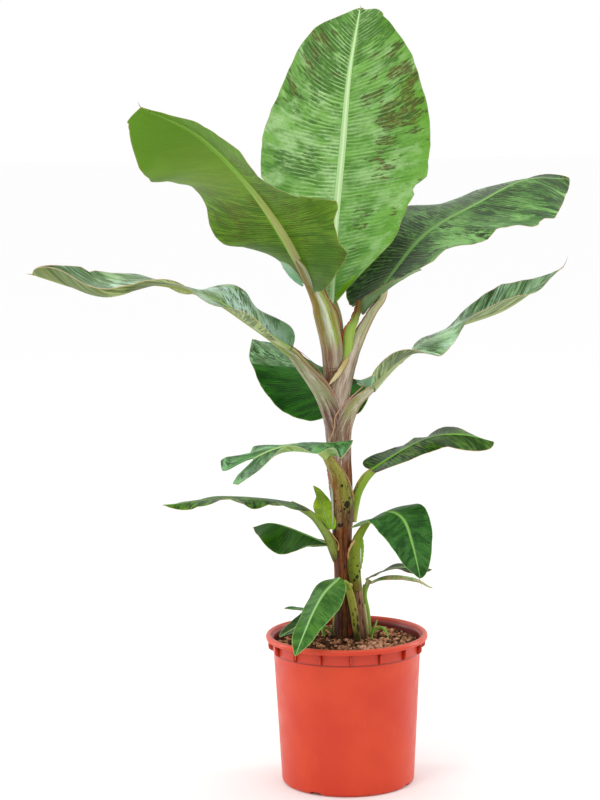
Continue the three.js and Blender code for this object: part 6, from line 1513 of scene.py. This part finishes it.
# ------------------------------------------------------------------ looks of the stalks and stems
STALK = {
    # around: -1 back, -0.5 left, 0 front, 0.5 right, 1 back
    "petiole_1": (dict(), dict(bands=((-1, "#8a8c42"), (-0.2, "#a8c070"), (0.2, "#8a8a40"), (1, "#80803c")), low=((-1, "#86803c"), (1, "#7a7836")),
                    low_from=0.10, low_to=0.16, edge="#6f5030", groove="#a9cf6c", bloom_mix=0.2)),
    "petiole_2": (dict(opening=((0, 0.06), (0.20, 0.10), (0.32, 0.22), (0.5, 0.18), (0.77, 0.08), (1, 0.03)), depth=((0, 0.0), (0.2, 0.1), (0.32, 0.35), (0.55, 0.15), (0.77, 0.0), (1, 0)), ref=(0.55, 0.83, 0.0)),
                  dict(bands=((-1, "#7d7c40"), (-0.55, "#8f8244"), (-0.42, "#a08c50"), (-0.30, "#98824a"), (-0.20, "#958438"), (-0.14, "#8a7430"),
                              (-0.10, "#98985a"), (-0.05, "#acbc90"), (0.00, "#ced6c8"), (0.06, "#d0d6c6"), (0.11, "#9cbc5c"), (0.17, "#88a840"), (0.26, "#86742a"),
                              (0.36, "#a0a850"), (0.48, "#a28450"), (1, "#7d8a38")),
                    low=((-1, "#6b4a3c"), (-0.5, "#745a44"), (-0.25, "#806250"), (-0.12, "#724630"), (-0.02, "#876d5d"), (0.05, "#a89686"), (0.12, "#beb4aa"),
                         (0.2, "#93806f"), (0.34, "#a89a8c"), (0.5, "#9a8474"), (1, "#6f4a3a")),
                    low_from=0.182, low_to=0.222, feet=(0.239, 0.262, "#6a4632"), bloom="#c7cabb", bloom_mix=0.30, streak="#6f4a24", streak_mix=0.50,
                    edge="#7a3630", edge_low="#6a3a2c", rings=((0.254, 0.0024), (0.247, 0.0012)))),
    "petiole_3": (dict(), dict(bands=((-1, "#8f9a70"), (-0.45, "#8d956d"), (-0.2, "#98a586"), (0.0, "#aab78f"), (0.2, "#b4b488"), (0.34, "#a28667"), (0.5, "#8f6f3c"), (1, "#8f8a5c")),
                    low=((-1, "#7f6256"), (-0.4, "#8a6c5c"), (-0.15, "#a4988e"), (0.05, "#bcb4ac"), (0.2, "#c0bab0"), (0.33, "#b0a498"), (0.46, "#b87f78"), (1, "#7c5c4c")),
                    low_from=0.09, low_to=0.15, patch=("#7a5646", 0.45), bloom="#d2d1c9", bloom_mix=0.65, streak="#5c3c2c", streak_mix=0.66, edge="#b48a68", edge_low="#b87a74")),
    "petiole_4": (dict(opening=((0, 0.36), (0.25, 0.28), (0.5, 0.10), (1, 0.03))),
                  dict(bands=((-1, "#8f8c66"), (-0.4, "#9a7c6a"), (-0.15, "#8f8c5c"), (0.1, "#9aa070"), (0.30, "#a08a60"), (0.5, "#8a6440"), (1, "#8f8058")),
                    low=((-1, "#7a5c4e"), (-0.3, "#8a6c60"), (0.0, "#8c7468"), (0.25, "#8a6a58"), (0.45, "#6f4632"), (1, "#6f4c3c")),
                    low_from=0.055, low_to=0.10, patch=("#5a3626", 0.70), bloom="#cccbc2", bloom_mix=0.75, streak="#573726", streak_mix=0.62, edge="#c98f84", edge_low="#c08a70")),
    "petiole_5": (dict(opening=((0, 0.24), (0.3, 0.16), (0.6, 0.06), (1, 0.02)), depth=((0, 0.3), (0.35, 0.1), (0.6, 0.0), (1, 0))),
                  dict(bands=((-1, "#8f9a6c"), (-0.55, "#a8a47c"), (-0.3, "#8f9a6c"), (0.0, "#93a078"), (0.25, "#8f8c66"), (0.5, "#8a5f4c"), (1, "#8a7c54")),
                    low=((-1, "#7a5c50"), (-0.35, "#93807a"), (-0.1, "#7f6058"), (0.3, "#6f4c40"), (1, "#6f4c3c")), low_from=0.10, low_to=0.16,
                    patch=("#5a382e", 0.65), bloom="#cfcbc4", bloom_mix=0.75, streak="#573730", streak_mix=0.62, edge="#8a2f28", edge_low="#c9907c")),
    "petiole_6": (dict(), dict(bands=((-1, "#6f7a48"), (1, "#8a8a60")), low_from=0.02, low_to=0.05, bloom_mix=0.4)),
    "petiole_7": (dict(opening=((0, 0.36), (0.25, 0.26), (0.5, 0.10), (1, 0.03))),
                  dict(bands=((-1, "#9aa85a"), (-0.5, "#a8b47c"), (-0.2, "#b0bc8c"), (0.0, "#98a450"), (0.15, "#a4b870"), (0.4, "#86963c"), (1, "#8f8a48")),
                    low=((-1, "#7c6238"), (-0.40, "#946c40"), (-0.16, "#8a5c34"), (-0.04, "#8c7c40"), (0.04, "#8aa048"), (0.25, "#8fa34a"), (0.40, "#6f7a34"),
                         (0.52, "#6f4c30"), (1, "#6f4c3c")),
                    low_from=0.03, low_to=0.055, feet=(0.098, 0.125, "#5f4030"), bloom="#c9ccac", bloom_mix=0.40, streak="#5f4020", streak_mix=0.62,
                    edge="#b5806c", edge_low="#b08a5c", spots=0.95, spots_from=0.035, spots_to=0.22,
                    blobs=((0.108, 0.14, 0.008, 0.10), (0.062, 0.06, 0.004, 0.05), (0.125, 0.20, 0.004, 0.05), (0.152, -0.10, 0.006, 0.06), (0.097, 0.24, 0.003, 0.05), (0.118, 0.05, 0.003, 0.04)), freckle=0.9)),
    "petiole_8": (dict(), dict(bands=((-1, "#7fa03c"), (-0.3, "#a4b458"), (0.0, "#8fae48"), (0.3, "#84a83c"), (1, "#84a040")), low=((-1, "#98a050"), (0, "#b8b488"), (1, "#a8a070")),
                    low_from=0.07, low_to=0.10, bloom="#d0ccac", bloom_mix=0.35, streak="#8a7a34", streak_mix=0.35, edge="#c8b074", edge_low="#c8b48c")),
    "petiole_9": (dict(opening=((0, 0.38), (0.5, 0.30), (0.8, 0.14), (1, 0.05))),
                  dict(bands=((-1, "#8aa840"), (-0.35, "#6f9434"), (-0.12, "#88a844"), (0.08, "#a4c060"), (0.3, "#b4c878"), (1, "#8aa840")),
                    low=((-1, "#8d9a44"), (0.0, "#9aa850"), (0.3, "#a09a4c"), (1, "#8a8440")), low_from=0.08, low_to=0.12, bloom="#b8c88c", bloom_mix=0.30,
                    streak="#7a7a2c", streak_mix=0.30, edge="#c09868", edge_low="#c09464", spots=0.8, spots_from=0.09, spots_to=0.2, feet=(0.128, 0.142, "#5c4230"))),
    "petiole_10": (dict(), dict(bands=((-1, "#5f7c2c"), (1, "#7c9440")), low=((-1, "#8a7a48"), (1, "#8a7a48")), bloom_mix=0.2)),
    "petiole_12": (dict(opening=((0, 0.38), (0.25, 0.30), (0.5, 0.12), (1, 0.04))),
                  dict(bands=((-1, "#7f9c30"), (-0.4, "#93b048"), (0.0, "#98b850"), (0.3, "#84ac34"), (1, "#7fa034")),
                    low=((-1, "#7a8c38"), (-0.45, "#707c2c"), (-0.15, "#6f7f24"), (0.05, "#8fa84c"), (0.3, "#a4b46c"), (0.5, "#7fa034"), (1, "#7f9c34")),
                    low_from=0.035, low_to=0.065, feet=(0.118, 0.132, "#7a5c48"), bloom="#b8c88c", bloom_mix=0.25, streak="#6a7424", streak_mix=0.35,
                    edge="#b4a468", edge_low="#a8844c", spots=0.95, spots_from=0.07, spots_to=0.12, freckle=0.5, blobs=((0.118, 0.12, 0.005, 0.12), (0.108, 0.28, 0.004, 0.07), (0.096, 0.20, 0.003, 0.05), (0.124, -0.05, 0.004, 0.08)))),
    "petiole_13": (dict(), dict(bands=((-1, "#6f9a2c"), (1, "#88b040")), low=((-1, "#7f9a3c"), (1, "#8a9a44")), bloom_mix=0.1, streak_mix=0.2)),
    "petiole_14": (dict(), dict(bands=((-1, "#a8b468"), (1, "#bcc484")), low=((-1, "#98a050"), (1, "#a0a050")), bloom_mix=0.2, edge="#b8b088")),
    "stem_main": (dict(), dict(bands=((-1, "#7a5546"), (-0.4, "#8a6555"), (-0.1, "#7a5648"), (0.1, "#94705f"), (0.3, "#6a4436"), (1, "#6f4c3c")),
                    low=((-1, "#3e1c0b"), (-0.42, "#7a5440"), (-0.33, "#3e2012"), (-0.25, "#6f4a36"), (-0.17, "#3c1c10"), (-0.07, "#85573f"), (0.02, "#4a2818"), (0.09, "#7a4a34"), (0.17, "#341608"), (0.26, "#6a4030"), (0.35, "#85573f"), (0.5, "#4c2a1e"), (1, "#2a0d04")), low_from=0.18, low_to=0.26,
                    feet=(0.365, 0.41, "#3e1c0e"), base=(0.440, 0.490, "#160803"), bloom="#a08a82", bloom_mix=0.40, streak="#260f07", streak_mix=0.92, edge="#9a6a50", edge_low="#7c4834",
                    gloss=0.55, spots=0.7, spots_from=0.20, spots_to=0.30, blobs=((0.263, -0.02, 0.005, 0.05), (0.2925, -0.205, 0.005, 0.06), (0.324, -0.205, 0.004, 0.05), (0.345, 0.05, 0.004, 0.03), (0.38, -0.12, 0.006, 0.04)),
                    freckle=0.45)),
    "stem_right": (dict(), dict(bands=((-1, "#7d8a48"), (0.0, "#8a9a48"), (1, "#8a8a50")), low=((-1, "#5a3424"), (-0.4, "#6a4030"), (-0.18, "#8e6343"), (-0.02, "#5a3626"), (0.14, "#a07860"), (0.24, "#6b4832"),
                                      (0.36, "#9a8070"), (0.5, "#745a44"), (1, "#5a3424")), low_from=0.085, low_to=0.105, feet=(0.170, 0.192, "#33180c"), bloom="#b8a898",
                     bloom_mix=0.45, streak="#33180c", streak_mix=0.9, edge="#8a5a44", edge_low="#7a4c38", spots=0.6, spots_from=0.07, spots_to=0.12, gloss=0.5, blobs=((0.118, 0.12, 0.008, 0.07), (0.142, -0.08, 0.010, 0.06), (0.160, 0.22, 0.007, 0.06), (0.128, 0.34, 0.006, 0.05)), freckle=0.5)),
    "stem_front": (dict(), dict(bands=((-1, "#7c9040"), (0.0, "#a0b058"), (1, "#86963c")), low=((-1, "#7c9040"), (-0.2, "#98a45c"), (0.1, "#8c9440"), (0.3, "#6c6428"), (1, "#5a4a2a")),
                     low_from=0.04, low_to=0.07, feet=(0.094, 0.104, "#3c3018"), bloom="#b8c070", bloom_mix=0.25, streak="#5a5a24", edge="#a8a458", edge_low="#8a7a3c",
                     spots=1.0, spots_from=0.026, spots_to=0.2, base=(0.082, 0.100, "#1c1006"), blobs=((0.068, 0.25, 0.008, 0.12), (0.086, 0.20, 0.010, 0.18), (0.05, 0.15, 0.004, 0.07), (0.058, -0.1, 0.004, 0.06), (0.078, -0.15, 0.005, 0.08)), freckle=0.5)),
    "stem_back": (dict(), dict(bands=((-1, "#6f9a34"), (0.2, "#84b03c"), (1, "#7aa038")), low=((-1, "#7f9a3c"), (0.3, "#8f9a48"), (1, "#7a7a3c")), low_from=0.05, low_to=0.10,
                     bloom_mix=0.15, streak="#7a6a34", streak_mix=0.3)),
    "stem_left": (dict(), dict(bands=((-1, "#7c7c38"), (0.0, "#8f9a48"), (1, "#6a5a2c")), low=((-1, "#33251a"), (0.0, "#2c1c12"), (1, "#241610")), low_from=0.062, low_to=0.070,
                     bloom_mix=0.2, spots=0.9, spots_from=0.03, spots_to=0.2, streak="#4c3a18")),
}
WRAPS = {
    "stem_main": ((-1.2, 0.10, 0.0016), (-2.3, -0.08, 0.0014), (0.4, 0.15, 0.0014), (1.9, -0.1, 0.0012), (2.9, 0.12, 0.0012)),
    "stem_right": ((-1.9, 0.2, 0.0010), (0.2, -0.2, 0.0009)),
    "stem_front": ((-1.4, 0.15, 0.0007),),
    "stem_back": ((-1.0, 0.1, 0.0005),),
    "stem_left": ((-1.7, 0.1, 0.0005),),
}
for num, name in enumerate(LIMBS):
    shape, look = STALK[name]
    look = dict(look)
    if name in GAIN:
        look["gain"] = GAIN[name]
    mat = stalk_material(name + "_skin", 50 + num, **look)
    if name.startswith("stem_"):
        dress(stem_piece(name, 50 + num, wraps=WRAPS[name]), mat, [name])
    else:
        dress(stalk_piece(name, 50 + num, **shape), mat, [name])

# top colour, foot colour, left rim, right rim, streaks, then ragged left and right (mm), slope, thickness, bulge
FLAP_LOOK = {
    "wing": (("#6b4c20", "#93b04c", "#a8402c", None, "#6c7c2c"), (1.0, 0.3), 0.2, 0.7, 0.22),
    "straw": (("#b8a464", "#d6c89c", "#8f6f4c", "#9a7a4c", "#8a6c38"), (0.5, 0.6), -0.2, 0.8, 0.22),
    "margin5": (("#7a3028", "#c49a86", "#94453a", "#a8685a", "#d0b498"), (0.5, 0.6), 0.2, 0.7, 0.15),
    "margin4": (("#b88880", "#b8986c", "#b07c74", "#8a5c44", "#c4a488"), (0.4, 0.3), 0.2, 0.7, 0.2),
    "margin7": (("#c07868", "#c4a070", "#b4705c", "#8a5a40", "#a0683c"), (0.5, 0.4), -0.2, 0.9, 0.2),
    "margin12": (("#c0a070", "#b48a50", "#7a4c2c", "#c8a874", "#8a5c30"), (0.9, 0.4), 0.2, 0.9, 0.2),
    "flange12": (("#78ac28", "#7fb034", None, "#8aa83c", "#6a9a24"), (0.2, 0.8), -0.3, 0.6, 0.1),
    "margin9": (("#c89c70", "#b08a54", "#b08a50", "#8a5a38", "#9aa050"), (0.3, 0.5), -0.2, 0.8, 0.2),
    "pale3": (("#c4909a", "#b88a84", "#c87c84", None, "#d8c0b8"), (0.3, 0.3), 0.0, 0.6, 0.2),
    "red7": (("#c47470", "#a89a8c", "#b4504c", None, "#8a6c5c"), (0.5, 0.2), 0.3, 0.7, 0.2),
    "white7": (("#a8bfa8", "#b8b4a0", "#9aa890", "#8a7458", "#8a8c74"), (0.3, 0.3), 0.1, 0.6, 0.2),
    "flange3": (("#7d9468", "#6a8558", "#a88c60", None, "#8fa67c"), (0.5, 0.2), 0.2, 0.7, 0.12),
    "lobe4": (("#86ab8a", "#78a07c", "#c0c090", "#c8b890", "#6a9a74"), (0.5, 0.5), 0.1, 0.8, 0.08),
    "sliver1": (("#76aa24", "#6c9c1c", None, "#8aa040", "#5f9018"), (0.2, 0.3), 0.1, 0.7, 0.1),
    "fold2": (("#a9cdb0", "#86b891", None, "#c8b890", "#6a9a70"), (0.4, 0.1), 0.0, 0.6, 0.15),
    "fray2": (("#8a2c30", "#7a4840", "#a8a070", "#8a3438", "#5f7a34"), (0.8, 1.0), 0.0, 0.8, 0.2),
    "dried_left": (("#8c9448", "#4c4020", "#a6ab5a", None, "#3a2c14"), (0.6, 0.5), 0.2, 0.6, 0.3),
    "back_edge": (("#b8c078", "#a8a868", None, "#c8c090", "#8aa04c"), (0.3, 0.6), -0.2, 0.6, 0.2),
    "red_low": (("#6a2018", "#8f2418", None, None, "#4c140e"), (0.3, 0.3), 0.0, 0.5, 0.2),
    "front_top": (("#c4b474", "#a8a858", "#b89c5c", "#a89a58", "#8a8a3c"), (0.3, 0.3), 0.0, 0.6, 0.3),
    "back_sheath7": (("#c4706c", "#b88c84", "#b8504c", "#c89c94", "#8a6c5c"), (0.5, 0.2), 0.3, 0.7, 0.2),
}
for num, (name, rows) in enumerate(FLAPS.items()):
    (c0, c1, cl, cr, cs), ragged, slope, thick, bulge = FLAP_LOOK[name]
    piece = flap_piece("fold_" + name, rows, 90 + num, thick=thick, bulge=bulge, ragged=ragged, slope=slope)
    rim = 0.15 if name == "wing" else 0.10 if name in ( "straw", "flange3", "lobe4", "sliver1", "flange12", "fold2") else 0.25
    dress(piece, flap_material("fold_" + name + "_skin", 90 + num, c0, c1, cl, cr, streak=cs, rim=rim, turn=(0.15, 0.42) if name == "wing" else (0.15, 0.75), streak_mix=0.55 if name in ("wing", "straw") else 0.3))

# ------------------------------------------------------------------ dry thread at each leaf's end
tips = Pile()
for name, length, drop in (("leaf_1", 9, 0.1), ("leaf_2", 10, -0.5), ("leaf_3", 5, 0.3), ("leaf_4", 18, -0.5), ("leaf_5", 13, 0.1),
                           ("leaf_6", 4, 0.6), ("leaf_8", 6, 0.3), ("leaf_9", 5, 0.2), ("leaf_10", 5, 0.3), ("leaf_12", 12, 0.5), ("leaf_14", 6, 0.6)):
    C, T, N, S, L = blade_spine(BLADES[name])
    p, d = C[-1] - T[-1] * 0.003, T[-1]
    pts = [p + d * length / 1000 * t + np.array([0, 0, -1.0]) * drop * length / 1000 * t * t + S[-1] * 0.0012 * math.sin(4 * t) for t in np.linspace(0, 1.2, 9)]
    Cc = np.array(pts)
    Tt, Nn, Ss = frames(Cc, np.array([0.3, 0.2, 0.9]))
    rad = np.linspace(0.0012, 0.0002, 9) * (1 if length > 8 else 0.8)
    th = 2 * np.pi * np.arange(8) / 8
    ring = Cc[:, None] + rad[:, None, None] * (np.cos(th)[None, :, None] * Nn[:, None] + np.sin(th)[None, :, None] * Ss[:, None])
    j = np.arange(8)
    tris = np.concatenate([np.stack([np.full(8, 72), (j + 1) % 8, j], -1), np.stack([np.full(8, 73), 64 + j, 64 + (j + 1) % 8], -1)])
    tips.add(np.vstack([ring.reshape(-1, 3), Cc[0], Cc[-1] + Tt[-1] * 0.0004]), ring_faces(9, 8), tris)
dress(tips.make("leaf_tip_threads"), plain_material("dry_thread", "#8a6a3c", "#c0a070", 0.6, 300.0))

# ------------------------------------------------------------------ pot and potting mix
dress(pot_piece(), pot_material(), ["pot"])
dress(soil_piece(), soil_material(), ["soil"])

# ------------------------------------------------------------------ floor, light, camera
n = 96
th = 2 * np.pi * np.arange(n) / n
co = np.concatenate([[[0, 0, 0]], np.stack([40 * np.cos(th), 40 * np.sin(th), np.zeros(n)], -1)])
j = np.arange(n)
floor = mesh_object("studio_floor", co, np.zeros((0, 4), int), np.stack([np.zeros(n, int), 1 + j, 1 + (j + 1) % n], -1), smooth=False)
fm = Shade("studio_floor_paint", rough=0.85)
fx, fy, fz = fm.split(fm.obj())
far = fm.step(fm.op("SQRT", fm.add(fm.mul(fx, fx), fm.mul(fy, fy))), 0.3, 5.0)
fm.colour(fm.mix(far, fm.mix(fm.step(fm.noise(fm.obj(), 3.0, 2.0), 0.3, 0.7), (0.90, 0.90, 0.90, 1), (0.915, 0.915, 0.91, 1)), (0.985, 0.985, 0.985, 1)))
floor.data.materials.append(fm.m)

world = bpy.data.worlds.new("studio")
bpy.context.scene.world = world
world.use_nodes = True
bg = next(q for q in world.node_tree.nodes if q.type == "BACKGROUND")
bg.inputs["Color"].default_value = (1.0, 1.0, 1.0, 1.0)
bg.inputs["Strength"].default_value = 1.0


def lamp(name, place, aim, size, watts, colour=(1, 1, 1)):
    d = bpy.data.lights.new(name, "AREA")
    d.shape = "RECTANGLE"
    d.size, d.size_y = size
    d.energy = watts
    d.color = colour
    o = bpy.data.objects.new(name, d)
    bpy.context.scene.collection.objects.link(o)
    z = unit(np.asarray(place, float) - np.asarray(aim, float))
    x = unit(np.cross([0, 0, 1.0], z))
    y = np.cross(z, x)
    o.matrix_world = Matrix([[x[0], y[0], z[0], place[0]], [x[1], y[1], z[1], place[1]], [x[2], y[2], z[2], place[2]], [0, 0, 0, 1]])
    return o


lamp("key_light", (-1.9, -2.6, 2.9), (0, 0, 0.8), (1.4, 1.4), 34, (1.0, 0.985, 0.96))
lamp("fill_light", (2.6, -2.0, 1.6), (0, 0, 0.7), (1.8, 1.8), 8)
lamp("left_strip", (-2.4, 0.75, 0.9), (0, 0, 0.6), (0.45, 2.0), 20)
lamp("right_strip", (2.4, 0.80, 0.9), (0, 0, 0.6), (0.45, 2.0), 20)
lamp("top_light", (0.2, 0.6, 3.2), (0, 0, 0.9), (2.0, 2.0), 14)

cam = bpy.data.cameras.new("camera")
eye = bpy.data.objects.new("camera", cam)
bpy.context.scene.collection.objects.link(eye)
cam.sensor_width = 36.0
cam.lens = 2393.0 * 36.0 / 800.0
cam.clip_end = 200.0
pitch, roll = 0.130, -0.0128
fwd = np.array([0, math.cos(pitch), -math.sin(pitch)])
up = np.array([0, math.sin(pitch), math.cos(pitch)])
right = np.array([1.0, 0, 0])
rx = math.cos(roll) * right + math.sin(roll) * up
uy = -math.sin(roll) * right + math.cos(roll) * up
eye.matrix_world = Matrix([[rx[0], uy[0], -fwd[0], -0.084], [rx[1], uy[1], -fwd[1], -4.5], [rx[2], uy[2], -fwd[2], 1.329], [0, 0, 0, 1]])
bpy.context.scene.camera = eye
bpy.context.scene.view_settings.view_transform = "Standard"
bpy.context.scene.view_settings.look = "None"
